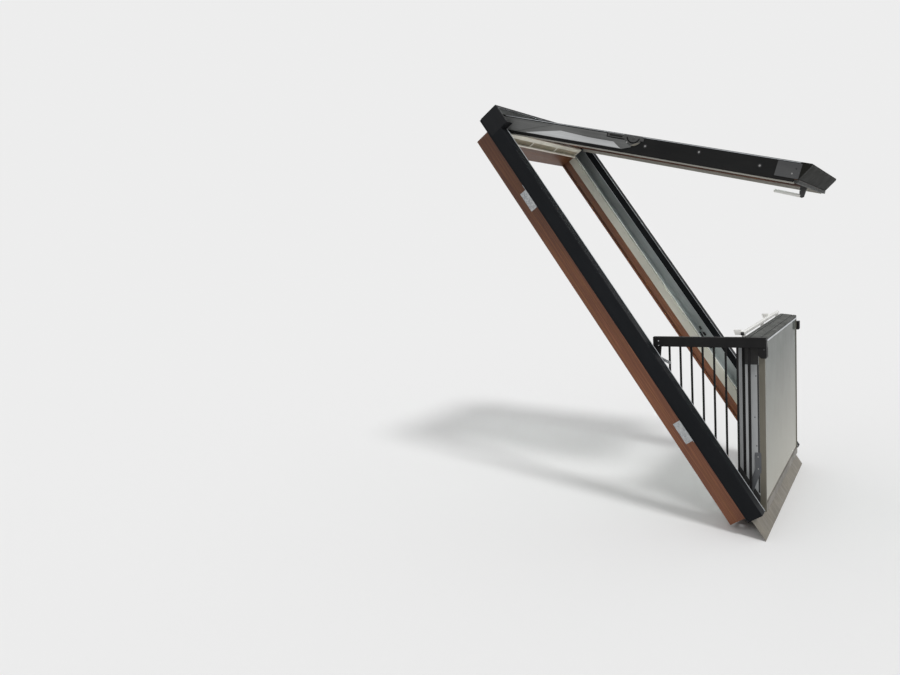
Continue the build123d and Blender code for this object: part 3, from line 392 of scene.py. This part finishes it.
# edge and its colour give lighter edges: partly wear, partly painted highlight
LOOKS = {
    "cladding": dict(colour=(0.0082, 0.0092, 0.0108), gloss=0.55, specular=0.5, ior=1.16,
                     edge=0.04, dust=0.02),
    "cover": dict(colour=(0.0100, 0.0103, 0.0105), gloss=0.55, specular=0.5, ior=1.20, edge=0.08,
                  dust=0.03),
    "nose": dict(colour=(0.0125, 0.0130, 0.0110), gloss=0.66, specular=0.5, ior=1.15, edge=0.2,
                 dust=0.04),
    "casing": dict(colour=(0.0110, 0.0117, 0.0130), gloss=0.55, specular=0.5, ior=1.20, edge=0.10,
                   dust=0.03),
    # lining: pale grey, partly the casing's grey inner side, partly painted light
    "lining": dict(colour=(0.47, 0.485, 0.485), gloss=0.50, grain=0.12, dust=0.1),
    # ledge and strip: painted light makes them brighter towards the foot of the slope
    "ledge": dict(colour=(0.155, 0.170, 0.170), gloss=0.44, grain=0.20, dust=0.16, specular=0.4,
                  edge_wear_and_highlight_colour=(0.45, 0.47, 0.48), fade=(2.05, 1.15, 2.1)),
    "strip": dict(colour=(0.375, 0.365, 0.318), gloss=0.42, grain=0.06, dust=0.22, edge=0.6,
                  edge_wear_and_highlight_colour=(0.78, 0.78, 0.74), fade=(2.05, 1.15, 1.45)),
    # bright_bead and edging are painted highlights: pale strips where edges catch the light
    "bright_bead": dict(colour=(0.86, 0.865, 0.85), gloss=0.30, dust=0.08),
    "edging": dict(colour=(0.46, 0.48, 0.50), gloss=0.36, dust=0.12, metallic=0.3),
    "vent": dict(colour=(0.76, 0.73, 0.63), gloss=0.44, dust=0.15, edge=0.5,
                 edge_wear_and_highlight_colour=(0.80, 0.80, 0.74)),
    "mesh": dict(colour=(0.62, 0.55, 0.41), gloss=0.6, dust=0.2),
    "side_strip": dict(colour=(0.38, 0.370, 0.330), gloss=0.5, dust=0.25, edge=0.4,
                       edge_wear_and_highlight_colour=(0.6, 0.6, 0.56)),
    "cap": dict(colour=(0.034, 0.038, 0.034), gloss=0.54, grain=0.22, dust=0.16, specular=0.2),
    "drip": dict(colour=(0.036, 0.038, 0.036), gloss=0.55, grain=0.2, dust=0.10, specular=0.15,
                 edge=0.5, edge_wear_and_highlight_colour=(0.30, 0.31, 0.30)),
    "side": dict(colour=(0.335, 0.345, 0.350), gloss=0.36, grain=0.07, dust=0.14, edge=0.5,
                 edge_wear_and_highlight_colour=(0.72, 0.73, 0.75), metallic=0.12),
    "brace": dict(colour=(0.47, 0.48, 0.485), gloss=0.38, grain=0.14, dust=0.12, edge=0.5,
                  edge_wear_and_highlight_colour=(0.7, 0.71, 0.72), metallic=0.3),
    "arm": dict(colour=(0.118, 0.121, 0.119), gloss=0.46, vary=0.32, grain=0.24, dust=0.12,
                edge=0.5, edge_wear_and_highlight_colour=(0.30, 0.31, 0.31), metallic=0.25),
    "pivot": dict(colour=(0.052, 0.053, 0.052), gloss=0.46, vary=0.25, grain=0.1, dust=0.10,
                  edge=0.4, edge_wear_and_highlight_colour=(0.12, 0.12, 0.12), metallic=0.2),
    "crescent": dict(colour=(0.150, 0.140, 0.112), gloss=0.5, vary=0.3, dust=0.2),
    "bracket": dict(colour=(0.056, 0.057, 0.059), gloss=0.52, vary=0.2, grain=0.1, dust=0.12,
                    edge=0.4, edge_wear_and_highlight_colour=(0.16, 0.16, 0.17), specular=0.3),
    "hinge_plate": dict(colour=(0.078, 0.082, 0.088), gloss=0.46, vary=0.2, dust=0.15, edge=0.5,
                        metallic=0.2),
    "rubber": dict(colour=(0.0100, 0.0100, 0.0100), gloss=0.72, grain=0.1, dust=0.06, edge=0.1,
                   specular=0.15),
    "end_cap": dict(colour=(0.032, 0.032, 0.032), gloss=0.6, dust=0.10, edge=0.3, specular=0.2),
    "bronze": dict(colour=(0.122, 0.113, 0.088), gloss=0.40, grain=0.14, vary=0.22, dust=0.18,
                   edge=0.6, edge_wear_and_highlight_colour=(0.33, 0.31, 0.26), metallic=0.25),
    "foot_cover": dict(colour=(0.118, 0.106, 0.088), gloss=0.46, grain=0.12, vary=0.25, dust=0.25,
                       edge=0.5),
    "white": dict(colour=(0.80, 0.795, 0.765), gloss=0.28, grain=0.03, vary=0.05, dust=0.10,
                  edge=0.3, edge_wear_and_highlight_colour=(0.85, 0.85, 0.84)),
    "railing": dict(colour=(0.0085, 0.0085, 0.0088), gloss=0.55, grain=0.05, dust=0.03, edge=0.3,
                    edge_wear_and_highlight_colour=(0.08, 0.08, 0.08), specular=0.14),
    "zinc": dict(colour=(0.52, 0.53, 0.54), gloss=0.30, dust=0.1, edge=0.4,
                 edge_wear_and_highlight_colour=(0.75, 0.75, 0.76), metallic=0.85),
    "dull_zinc": dict(colour=(0.30, 0.30, 0.295), gloss=0.45, dust=0.15, edge=0.4, metallic=0.5),
    "dark_steel": dict(colour=(0.022, 0.022, 0.023), gloss=0.48, dust=0.06, specular=0.25),
    "spacer": dict(colour=(0.33, 0.34, 0.345), gloss=0.38, dust=0.02, metallic=0.6),
}


# Timber looks with light below 1 are painted shade: the head, the jambs and the upper sash's stiles
# are darkened as though in shade, and the jambs also get painted light towards their foot.
TIMBERS = {
    "timber": dict(),
    "timber_across": dict(across=True),
    "timber_dark": dict(light=0.28),
    "jamb_timber": dict(light=0.55, fade=(2.1, 1.1, 2.1)),
    "head_timber": dict(light=0.55, across=True),
}


SINGLE_LOOKS = {"lead": leaden, "galvanised": galvanised, "glass": glazing}


def finish(look, leaf):
    """Finish of one look, laid along a leaf."""
    name = f"{look}_{round(math.degrees(leaf.tilt))}"
    if look in SINGLE_LOOKS:
        return cached(name, SINGLE_LOOKS[look], leaf)
    if look in TIMBERS:
        return cached(name, timber, leaf, **TIMBERS[look])
    return cached(name, coated, leaf, **LOOKS[look])


SLOT_LOOK = {
    "timber": "timber",
    "light_strip": "strip",
    "grey_profile": "ledge",
    "dark_cladding": "cladding",
    "apron_sheet": "lead",
    "galvanised": "galvanised",
    "window_glass": "glass",
    "silver_profile": "side",
    "black_seal": "rubber",
    "bronze_edge": "bronze",
    "white_bar": "white",
    "railing_black": "railing",
    "arm_metal": "arm",
}
NODE_LOOK = {
    "frame_sill": "timber_across",
    "frame_head": "head_timber",
    "frame_jamb_left": "jamb_timber",
    "frame_jamb_right": "jamb_timber",
    "lower_sash_bottom_rail": "timber_across",
    "lower_sash_top_rail": "timber_across",
    "upper_sash_top_rail": "timber_across",
    "upper_sash_bottom_rail": "timber_across",
    "vent_grille": "vent",
    "upper_sash_side_strips": "side_strip",
    "lower_sash_top_cap": "cap",
    "upper_sash_drip_rail": "drip",
    "head_casing": "casing",
    "upper_sash_cover_left": "cover",
    "upper_sash_cover_right": "cover",
    "upper_sash_top_cover": "cover",
    "upper_sash_bottom_cover": "nose",
    "upper_sash_stile_left": "timber_dark",
    "upper_sash_stile_right": "timber_dark",
    "arm_braces": "brace",
    "railing_lever_left": "zinc",
    "lower_sash_end_caps": "end_cap",
    "lower_sash_bottom_cover": "foot_cover",
    "pivot_hinge_left": "pivot",
    "pivot_hinge_right": "pivot",
    "upper_sash_corner_brackets": "bracket",
    "lower_hinges": "hinge_plate",
}
UPPER_PREFIXES = ("upper", "lifting", "pivot_hinge", "arm_braces")
LOWER_PREFIXES = ("lower", "handrail", "balusters", "railing_link", "railing_lever")


def leaf_of(node):
    if node.startswith(UPPER_PREFIXES):
        return UPPER
    return LOWER if node.startswith(LOWER_PREFIXES) else ROOF


for row in frame["record"]["subparts"]:
    node = row["node"]
    look = NODE_LOOK.get(node, SLOT_LOOK[row["material_slot"]])
    slots = frame["nodes"][node].data.materials
    slots.clear()
    slots.append(finish(look, leaf_of(node)))


# Pieces drawn in millimetres
MILLIMETRE = 0.001
SHARP = math.radians(35)
ROUND_STEPS = 24
STAR_POINTS = 6
SIDES = (-1, 1)


class Work:
    """Mesh of one piece, in a leaf's own axes."""

    def __init__(self, leaf):
        self.leaf = leaf
        self.mesh = bmesh.new()

    def block(self, low, high, bevel=0.5, segments=2):
        """Box between two corners, with rounded edges."""
        low, high = zip(*(sorted(pair) for pair in zip(low, high)))
        made = bmesh.ops.create_cube(self.mesh, size=1)["verts"]
        bmesh.ops.scale(self.mesh, verts=made, vec=[b - a for a, b in zip(low, high)])
        bmesh.ops.translate(self.mesh, verts=made, vec=[(a + b) / 2 for a, b in zip(low, high)])
        self.round_off(made, bevel, segments)

    def round_off(self, made, bevel, segments=2):
        if bevel:
            edges = list({edge for vert in made for edge in vert.link_edges})
            bmesh.ops.bevel(self.mesh, geom=edges, offset=bevel, segments=segments, profile=0.5,
                            affect="EDGES")

    def prism(self, points, start, end, along="Y", bevel=0.0):
        """Outline in the two axes other than the one that it runs along."""
        axis = "XYZ".index(along)
        rings = []
        for run in (start, end):
            ring = []
            for first, second in points:
                place = [first, second]
                place.insert(axis, run)
                ring.append(self.mesh.verts.new(place))
            rings.append(ring)
        near, far = rings
        for ring in rings:
            self.mesh.faces.new(ring)
        for index in range(len(points)):
            after = (index + 1) % len(points)
            self.mesh.faces.new((near[index], near[after], far[after], far[index]))
        self.round_off([vert for ring in rings for vert in ring], bevel)

    def turned(self, profile, place, steps=ROUND_STEPS):
        """Rings of (radius, height, lobe depth) round the local Z axis of a placing matrix."""
        rings = []
        for radius, height, lobe in profile:
            ring = []
            for index in range(steps):
                angle = math.tau * index / steps
                reach = radius * (1 + lobe * math.cos(STAR_POINTS * angle))
                point = Vector((reach * math.cos(angle), reach * math.sin(angle), height))
                ring.append(self.mesh.verts.new(place @ point))
            rings.append(ring)
        for ring, following in zip(rings, rings[1:]):
            for index in range(steps):
                after = (index + 1) % steps
                self.mesh.faces.new((ring[index], ring[after], following[after], following[index]))
        self.mesh.faces.new(rings[0])
        self.mesh.faces.new(rings[-1])

    def screw(self, place, radius=4.5, height=2.2):
        """Round head with a star recess."""
        self.turned((
            (radius, -0.3, 0), (radius, height * 0.3, 0), (radius * 0.90, height * 0.7, 0),
            (radius * 0.66, height, 0), (radius * 0.46, height, 0.16),
            (radius * 0.40, height * 0.35, 0.16), (radius * 0.10, height * 0.30, 0),
        ), place)

    def disc(self, place, radius, height):
        """Washer or rivet with an eased edge."""
        ease = min(height * 0.4, radius * 0.2)
        self.turned(((radius, -0.2, 0), (radius, height - ease, 0), (radius - ease, height, 0),
                     (radius * 0.2, height, 0)), place)

    def bolt(self, place, radius=7.0, height=4.5):
        """Hexagon head on its washer."""
        self.disc(place, radius * 1.35, 1.2)
        self.turned(((radius, 1.1, 0), (radius, height, 0), (radius * 0.86, height + 0.9, 0),
                     (radius * 0.2, height + 0.9, 0)), place, 6)

    def ring(self, low, high, width, inner, outer):
        """Rectangular frame of one width, between two heights out of the leaf."""
        (x0, y0), (x1, y1) = low, high
        for a, b in (((x0, y0), (x1, y0 + width)), ((x0, y1 - width), (x1, y1)),
                     ((x0, y0 + width), (x0 + width, y1 - width)),
                     ((x1 - width, y0 + width), (x1, y1 - width))):
            self.block((*a, inner), (*b, outer), 0.3, 1)

    def make(self, name, look, replaces=()):
        bmesh.ops.recalc_face_normals(self.mesh, faces=self.mesh.faces)
        for face in self.mesh.faces:
            face.smooth = True
        for edge in self.mesh.edges:
            edge.smooth = edge.calc_face_angle(math.pi) < SHARP
        data = bpy.data.meshes.new(name)
        self.mesh.to_mesh(data)
        self.mesh.free()
        data.transform(self.leaf.matrix @ Matrix.Scale(MILLIMETRE, 4))
        data.materials.append(finish(look, self.leaf))
        piece = bpy.data.objects.new(name, data)
        bpy.context.scene.collection.objects.link(piece)
        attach(piece, "root")
        if replaces:
            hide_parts(*replaces)
        return piece


def out_of_side(side, x, along, out):
    """Place on a face that looks to one side, with its local Z pointing away from the middle."""
    return Matrix.Translation((side * x, along, out)) @ Matrix.Rotation(side * math.pi / 2, 4, "Y")


def out_of_leaf(x, along, out):
    return Matrix.Translation((x, along, out))


def into_leaf(x, along, out):
    return Matrix.Translation((x, along, out)) @ Matrix.Rotation(math.pi, 4, "X")


def down_leaf(x, along, out):
    return Matrix.Translation((x, along, out)) @ Matrix.Rotation(math.pi / 2, 4, "X")


def both_sides(leaf, name, look, draw):
    """One piece made of the same thing on each side; draw(work, side) adds it."""
    work = Work(leaf)
    for side in SIDES:
        draw(work, side)
    return work.make(name, look)


def mirrored(side, points):
    return [(side * x, y) for x, y in points]


# Sizes of the CAD that the fittings seat on, in millimetres
STRIP_INSIDE = 522
RIB_START = 548
LEDGE_MIDDLE = 562
HALF_FRAME = 570
WALL_INSIDE = 603
HALF_COVER = 675
CASING_INSIDE = 673
CASING_END = 2553
LIP_INSIDE = 661
LIP_END = 2541
FRAME_FOOT = 35
COVER_END = 2435
HEAD_START = 2441
LEDGE_TOP = -11
PLATE = 3
ARM = 4
HALF_LOWER = 556
HALF_UPPER = 594
ARM_FACE = HALF_UPPER + PLATE


# Frame: bead, cladding and wall edges and casing lips, each with a pale strip that is a painted
# highlight; the casing's lining, pale as painted light; screws, strikers, the vent's inner ribs
BEAD_HIGHLIGHT = [(RIB_START - 0.7, -10.8), (RIB_START - 0.7, -6.1), (RIB_START + 3.7, -6.1),
        (RIB_START + 3.7, -10.8), (RIB_START + 3.05, -10.8), (RIB_START + 3.05, -6.95),
        (RIB_START - 0.05, -6.95), (RIB_START - 0.05, -10.8)]
CLADDING_HIGHLIGHT = [(605.6, 84.1), (605.6, 85.6), (606.2, 86.3), (608.0, 86.3), (608.9, 85.6),
                 (608.9, 84.1)]
WALL_HIGHLIGHT = [(602.6, 43.0), (602.6, 45.2), (605.9, 45.2), (605.9, 44.05), (602.95, 44.05),
             (602.95, 43.0)]
LEDGE_SCREWS = (180, 620, 1075, 1530, 1985, 2400)
STRIKERS = (939, 986)
STRIKER_FACE = WALL_INSIDE - 2.8


# Near-white bead over the rib and pale strips along the cladding's and wall's top edges: painted
# highlights
def rebate_bead_highlight(work, side):
    work.prism(mirrored(side, BEAD_HIGHLIGHT), FRAME_FOOT, COVER_END)


def cladding_highlight(work, side):
    work.prism(mirrored(side, CLADDING_HIGHLIGHT), FRAME_FOOT + 1, COVER_END)


def wall_highlight(work, side):
    work.prism(mirrored(side, WALL_HIGHLIGHT), FRAME_FOOT + 1, COVER_END)


def ledge_screws(work, side):
    for along in LEDGE_SCREWS:
        work.screw(out_of_leaf(side * LEDGE_MIDDLE, along, LEDGE_TOP), 4.2, 1.8)


def strip_screw(work, side):
    work.screw(out_of_side(-side, -STRIP_INSIDE, 1082, -37), 3.2, 1.2)


def strikers(work, side):
    for along in STRIKERS:
        work.block((side * STRIKER_FACE, along - 13, 3),
                   (side * (WALL_INSIDE - 0.1), along + 13, 15), 0.7)
        work.screw(out_of_side(-side, -STRIKER_FACE, along, 9), 2.6, 1.0)


both_sides(ROOF, "rebate_bead_highlights", "bright_bead", rebate_bead_highlight)
both_sides(ROOF, "cladding_highlights", "edging", cladding_highlight)
both_sides(ROOF, "wall_highlights", "edging", wall_highlight)
both_sides(ROOF, "ledge_screws", "dull_zinc", ledge_screws)
both_sides(ROOF, "strip_screws", "zinc", strip_screw)
both_sides(ROOF, "striker_plates", "dark_steel", strikers)

# A pale sheet on the casing's inner faces and end: the sheet's grey inner side, made pale as
# painted light from the sky falling into the casing
LINING_TOP = 127.8
casing_painted_light_lining = Work(ROOF)
for side in SIDES:
    casing_painted_light_lining.block((side * (CASING_INSIDE - 0.6), COVER_END + 2.3, 30),
                        (side * (CASING_INSIDE - 0.1), CASING_END - 0.6, LINING_TOP), 0)
casing_painted_light_lining.block((1 - CASING_INSIDE, CASING_END - 0.6, 45),
                    (CASING_INSIDE - 1, CASING_END - 0.1, LINING_TOP), 0)
casing_painted_light_lining.make("casing_painted_light_lining", "lining")

# Pale strips on the casing's lips: painted highlight along the lip's edge
LIP_LOW, LIP_TOP = 127.6, 130.0
casing_lip_highlights = Work(ROOF)
for side in SIDES:
    casing_lip_highlights.block((side * (LIP_INSIDE - 0.4), COVER_END + 0.2, LIP_LOW),
                      (side * (LIP_INSIDE + 0.6), LIP_END, LIP_TOP), 0)
casing_lip_highlights.block((-LIP_INSIDE, LIP_END - 0.8, LIP_LOW), (LIP_INSIDE, LIP_END + 0.2, LIP_TOP), 0)
casing_lip_highlights.make("casing_lip_highlights", "edging")

VENT_PITCH = 6.0
HALF_RIB = 0.7
vent_ribs = Work(ROOF)
rib_count = int(2 * (STRIP_INSIDE - 16) / VENT_PITCH)
for index in range(rib_count + 1):
    x = (index - rib_count / 2) * VENT_PITCH
    vent_ribs.block((x - HALF_RIB, HEAD_START + 0.3, -10), (x + HALF_RIB, HEAD_START + 2.3, 36), 0)
vent_ribs.make("vent_ribs", "mesh")

JAMB_BRACKETS = (545, 2045)
SILL_SCREWS = (-110, 0, 110)


def bracket_screws(work, side):
    for middle in JAMB_BRACKETS:
        for along in (-38, 38):
            for out in (-62, -34):
                work.screw(out_of_side(side, HALF_FRAME + PLATE, middle + along, out), 5.0, 2.6)


both_sides(ROOF, "jamb_bracket_screws", "zinc", bracket_screws)
sill_screws = Work(ROOF)
for x in SILL_SCREWS:
    sill_screws.screw(down_leaf(x, FRAME_FOOT - PLATE, -52), 5.0, 2.6)
    sill_screws.screw(out_of_leaf(x, -8, PLATE), 5.0, 2.6)
sill_screws.make("sill_bracket_screws", "zinc")


# Apron: a soft sheet, dressed a little unevenly over the foot
APRON_LOW = -76.4
APRON_OUT = 29.0
APRON_THICKNESS = 1.7
APRON_STEPS = 14
SLOPE_COLUMNS, TURN_COLUMNS = 150, 90
HALF_TURN = 524.5
DEEPEST_DENT = 1.5
APRON_TURN = [(35.0, 28.8), (36.6, 28.3), (37.7, 26.8), (38.0, 24.0), (38.0, -8.0), (38.0, -18.0),
              (39.5, -19.2), (42.0, -19.4), (57.5, -19.4)]
WAVES = [(random.uniform(0.010, 0.034), random.uniform(0.01, 0.03), random.uniform(0, math.tau))
         for _ in range(5)]


def ripple(x, along):
    """Depth of the dents, from 0 to 1."""
    total = sum(math.sin(across * x + up * along + phase) for across, up, phase in WAVES)
    return 0.5 + 0.5 * total / len(WAVES)


def soft_sheet(work, path, half, columns, depth):
    """Sheet along a path of (along, out) points, dented by up to a depth."""
    rows = []
    for index, (along, out) in enumerate(path):
        before = Vector(path[max(index - 1, 0)])
        after = Vector(path[min(index + 1, len(path) - 1)])
        run = (after - before).normalized()
        normal = Vector((-run.y, run.x))
        row = []
        for column in range(columns + 1):
            x = half * (2 * column / columns - 1)
            dent = depth * ripple(x, along)
            top = Vector((along, out)) - normal * dent
            low = top - normal * APRON_THICKNESS
            row.append((work.mesh.verts.new((x, *top)), work.mesh.verts.new((x, *low))))
        rows.append(row)
    for row, following in zip(rows, rows[1:]):
        for a, b, c, d in zip(row, row[1:], following[1:], following):
            for layer in (0, 1):
                work.mesh.faces.new((a[layer], b[layer], c[layer], d[layer]))
    border = [rows[0], rows[-1], [row[0] for row in rows], [row[-1] for row in rows]]
    for line in border:
        for a, b in zip(line, line[1:]):
            work.mesh.faces.new((a[0], b[0], b[1], a[1]))


apron = Work(ROOF)
apron_slope = [(APRON_LOW + (FRAME_FOOT - 0.5 - APRON_LOW) * index / APRON_STEPS, APRON_OUT)
               for index in range(APRON_STEPS + 1)]
soft_sheet(apron, apron_slope, HALF_COVER - 0.5, SLOPE_COLUMNS, DEEPEST_DENT)
soft_sheet(apron, APRON_TURN, HALF_TURN, TURN_COLUMNS, 0.0)
apron.make("apron_sheet", "lead", ["apron_flashing"])


# Double glazing: two panes with a spacer and a dark edge seal
PANE = 4
UNIT = 24
GLASS_OUT = -4
SEAL_WIDTH = 9.5
SPACER_WIDTH = 6.5
LOOSE = 0.1                                 # between the rings and the panes


def glazed(leaf, name, half, low, high):
    panes = Work(leaf)
    for face in (GLASS_OUT, GLASS_OUT - UNIT + PANE):
        panes.block((-half, low, face - PANE), (half, high, face), 0.5, 1)
    panes.make(f"{name}_panes", "glass", [name])
    between = (GLASS_OUT - UNIT + PANE + LOOSE, GLASS_OUT - PANE - LOOSE)
    rings = (("seal", 0.5, SEAL_WIDTH, "black_seal", "rubber"),
             ("spacer", 0.6 + SEAL_WIDTH, SPACER_WIDTH, "silver_profile", "spacer"))
    for part, inset, width, slot, look in rings:
        work = Work(leaf)
        work.ring((inset - half, low + inset), (half - inset, high - inset), width, *between)
        work.make(f"{name}_{part}", look)


glazed(LOWER, "lower_glass", 547.7, 46.2, 853.6)
glazed(UPPER, "upper_glass", 587, -1590, -12)


# Upper sash: gaskets, screws, pivot details and the handle
GASKET = [(593.6, -78.15), (593.6, -85), (590.8, -90.2), (585.5, -91.6), (580.5, -88.5),
          (580.3, -80.15), (591.15, -80.15), (591.15, -78.15)]
COVER_SCREWS = ((-862, -44), (-1130, -30), (-1417, -45))
ARM_TIP_BOLT = (-796, -14)
PIVOT = (-792, -4)
RIM_RADIUS = 48.6
RIM_DEPTH = 9
RIM_START, RIM_SWEEP = 212, 66              # degrees
RIM_STEPS = 12


def upper_gasket(work, side):
    work.prism(mirrored(side, GASKET), -40, -1576)


def cover_washers(work, side):
    for along, out in COVER_SCREWS:
        work.disc(out_of_side(side, HALF_UPPER, along, out), 9.5, 0.9)


def cover_screws(work, side):
    for along, out in COVER_SCREWS:
        work.screw(out_of_side(side, HALF_UPPER + 0.9, along, out), 4.6, 1.8)
    work.screw(out_of_side(side, ARM_FACE, -1561, -56), 3.6, 1.4)
    work.disc(out_of_side(side, ARM_FACE, -764, -39), 4.0, 1.0)


def dark_screws(work, side):
    work.screw(out_of_side(side, ARM_FACE, -1574, -33), 3.6, 1.2)
    work.screw(out_of_side(side, ARM_FACE, -834, -24), 3.8, 1.2)


def pivot_screws(work, side):
    work.screw(out_of_side(side, HALF_UPPER + 0.4, -776, -18), 3.7, 3.0)
    work.disc(out_of_side(side, ARM_FACE, *ARM_TIP_BOLT), 7.5, 1.2)
    work.bolt(out_of_side(side, ARM_FACE + 1.1, *ARM_TIP_BOLT), 4.6, 2.4)


def crescent(work, side):
    """Lighter rim of the pivot's half disc, thickest in its middle."""
    outer, inner = [], []
    for index in range(RIM_STEPS + 1):
        share = index / RIM_STEPS
        angle = math.radians(RIM_START + RIM_SWEEP * share)
        inside = RIM_RADIUS - 0.6 - RIM_DEPTH * math.sin(math.pi * share)
        for line, radius in ((outer, RIM_RADIUS), (inner, inside)):
            line.append((PIVOT[0] + radius * math.cos(angle), PIVOT[1] + radius * math.sin(angle)))
    low, high = sorted((side * ARM_FACE, side * (ARM_FACE + 0.8)))
    work.prism(outer + inner[::-1], low, high, "X")


# Pale strip along the cover's top edge: painted highlight
def cover_highlight(work, side):
    work.block((side * HALF_UPPER, -1586, -2.2), (side * (HALF_UPPER + 0.4), -40, -5.0), 0)


def sliders(work, side):
    work.block((side * (HALF_UPPER + 0.1), -735, -18.8),
               (side * (HALF_UPPER + 3.5), -665, -12.2), 1.2)


both_sides(UPPER, "upper_sash_gaskets", "rubber", upper_gasket)
both_sides(UPPER, "upper_cover_washers", "dark_steel", cover_washers)
both_sides(UPPER, "upper_cover_screws", "dull_zinc", cover_screws)
both_sides(UPPER, "upper_cover_highlights", "edging", cover_highlight)
both_sides(UPPER, "pivot_rims", "crescent", crescent)
both_sides(UPPER, "upper_dark_screws", "dark_steel", dark_screws)
both_sides(UPPER, "pivot_screws", "pivot", pivot_screws)
both_sides(UPPER, "pivot_sliders", "rubber", sliders)

HANDLE_POST = [(-1567, -83), (-1533, -83), (-1538, -118), (-1545, -143), (-1556, -147),
               (-1566, -140)]
HALF_POST = 9
POST_FOOT = ((-16, -1574, -83.2), (16, -1526, -80.1))
HANDLE_BAR = [(-1550, -129.0), (-1412.5, -125.5), (-1412.5, -142.5), (-1550, -146.5)]
HALF_BAR = 9.8
handle_post = Work(UPPER)
handle_post.prism(HANDLE_POST, -HALF_POST, HALF_POST, "X", 1.6)
handle_post.block(*POST_FOOT, 1.0)
handle_post.make("upper_handle_post", "bracket", ["upper_handle"])
handle_bar = Work(UPPER)
handle_bar.prism(HANDLE_BAR, -HALF_BAR, HALF_BAR, "X", 5.0)
handle_bar.make("upper_handle_bar", "white", ["upper_handle"])
handle_screws = Work(UPPER)
for x in (-11, 11):
    for along in (-1570.0, -1530.0):
        handle_screws.screw(into_leaf(x, along, -83.1), 2.6, 1.1)
handle_screws.make("upper_handle_screws", "zinc")


# Lower sash: side bands, a pale strip on the glazing bead as painted highlight, screws, bolts and
# the ends of the handle bar
SIDE_BANDS = ((94, 195), (298, 735))
PROFILE_SCREWS = ((475, -49), (680, -42), (331, -42))
HINGE_PLATE_SCREWS = (216, 277)


def side_band(work, side):
    for low, high in SIDE_BANDS:
        work.block((side * (HALF_LOWER + 0.05), low, -28.4),
                   (side * (HALF_LOWER + 0.7), high, -36), 0)


def profile_screws(work, side):
    for height, out in PROFILE_SCREWS:
        work.screw(out_of_side(side, HALF_LOWER, height, out), 3.0, 0.8)


def lower_bolts(work, side):
    work.bolt(out_of_side(side, 563.3, 40, -95), 6.2, 4.0)
    for height in HINGE_PLATE_SCREWS:
        work.screw(out_of_side(side, HALF_LOWER + ARM, height, -36), 3.4, 1.2)


both_sides(LOWER, "lower_side_bands", "end_cap", side_band)
both_sides(LOWER, "lower_profile_screws", "dark_steel", profile_screws)
both_sides(LOWER, "lower_hinge_bolts", "dull_zinc", lower_bolts)

# Pale strip over the glazing bead: painted highlight along its top edge
bead_highlight = Work(LOWER)
bead_highlight.block((-547, 840.5, 0.05), (547, 849.5, 0.6), 0)
bead_highlight.make("lower_bead_highlight", "edging")

bar_ends = Work(LOWER)
for side in SIDES:
    bar_ends.block((side * 539.5, 877, -95), (side * 546, 893, -111), 3.0)
bar_ends.make("handle_bar_ends", "end_cap")


# Railing: rivets and bolts
RAILING_OUTSIDE = 600
LEVER = 3
LEVER_RIVETS = (853, 829)


def tongue_bolt(work, side):
    work.screw(out_of_side(side, RAILING_OUTSIDE, 815, 4), 5.0, 2.4)


railing_fixings = Work(LOWER)
for height in LEVER_RIVETS:
    railing_fixings.disc(out_of_side(-1, RAILING_OUTSIDE + LEVER, height, -497), 3.4, 1.3)
railing_fixings.disc(out_of_side(-1, RAILING_OUTSIDE, 786, -509), 3.4, 1.0)
railing_fixings.make("railing_fixings", "zinc")
both_sides(LOWER, "tongue_bolts", "dark_steel", tongue_bolt)


# Floor, world and lamp
FLOOR_SIZE = 60.0
FLOOR_GAP = 0.001
FLOOR_SHADE = 0.85
WORLD_LIGHT = 0.62
WORLD_SEEN = 0.848                          # what the floor shows in the open
KEY_LIGHT = 1.6
KEY_SPREAD = 12                             # degrees
KEY_DIRECTION = (0.5, 0.75, -1.0)


def make_stage():
    mesh = bmesh.new()
    bmesh.ops.create_grid(mesh, x_segments=1, y_segments=1, size=FLOOR_SIZE)
    data = bpy.data.meshes.new("floor")
    mesh.to_mesh(data)
    mesh.free()
    floor = bpy.data.objects.new("floor", data)
    floor.location = (0, 0, cad_box[0][2] - FLOOR_GAP)
    bpy.context.scene.collection.objects.link(floor)
    graph = Graph("floor", Leaf(0))
    graph.set(Base_Color=(FLOOR_SHADE,) * 3, Roughness=0.95, Specular_IOR_Level=0.0)
    data.materials.append(graph.material)


def make_lights():
    """A white world, darker as a light than as it is seen, and a sun from the front left."""
    world = bpy.data.worlds.new("world")
    bpy.context.scene.world = world
    world.use_nodes = True
    nodes = world.node_tree.nodes
    links = world.node_tree.links
    paths = nodes.new("ShaderNodeLightPath")
    seen = paths.outputs["Is Camera Ray"]
    for name in ("Is Glossy Ray", "Is Transmission Ray"):
        either = nodes.new("ShaderNodeMath")
        either.operation = "MAXIMUM"
        links.new(seen, either.inputs[0])
        links.new(paths.outputs[name], either.inputs[1])
        seen = either.outputs[0]
    strength = nodes.new("ShaderNodeMapRange")
    strength.inputs["To Min"].default_value = WORLD_LIGHT
    strength.inputs["To Max"].default_value = WORLD_SEEN
    links.new(seen, strength.inputs["Value"])
    background = nodes["Background"]
    background.inputs["Color"].default_value = (1, 1, 1, 1)
    links.new(strength.outputs[0], background.inputs["Strength"])
    lamp = bpy.data.lights.new("key", "SUN")
    lamp.energy = KEY_LIGHT
    lamp.angle = math.radians(KEY_SPREAD)
    key = bpy.data.objects.new("key", lamp)
    key.rotation_euler = Vector(KEY_DIRECTION).to_track_quat("-Z", "Y").to_euler()
    bpy.context.scene.collection.objects.link(key)


make_stage()
make_lights()

bpy.context.scene.view_settings.view_transform = "Standard"
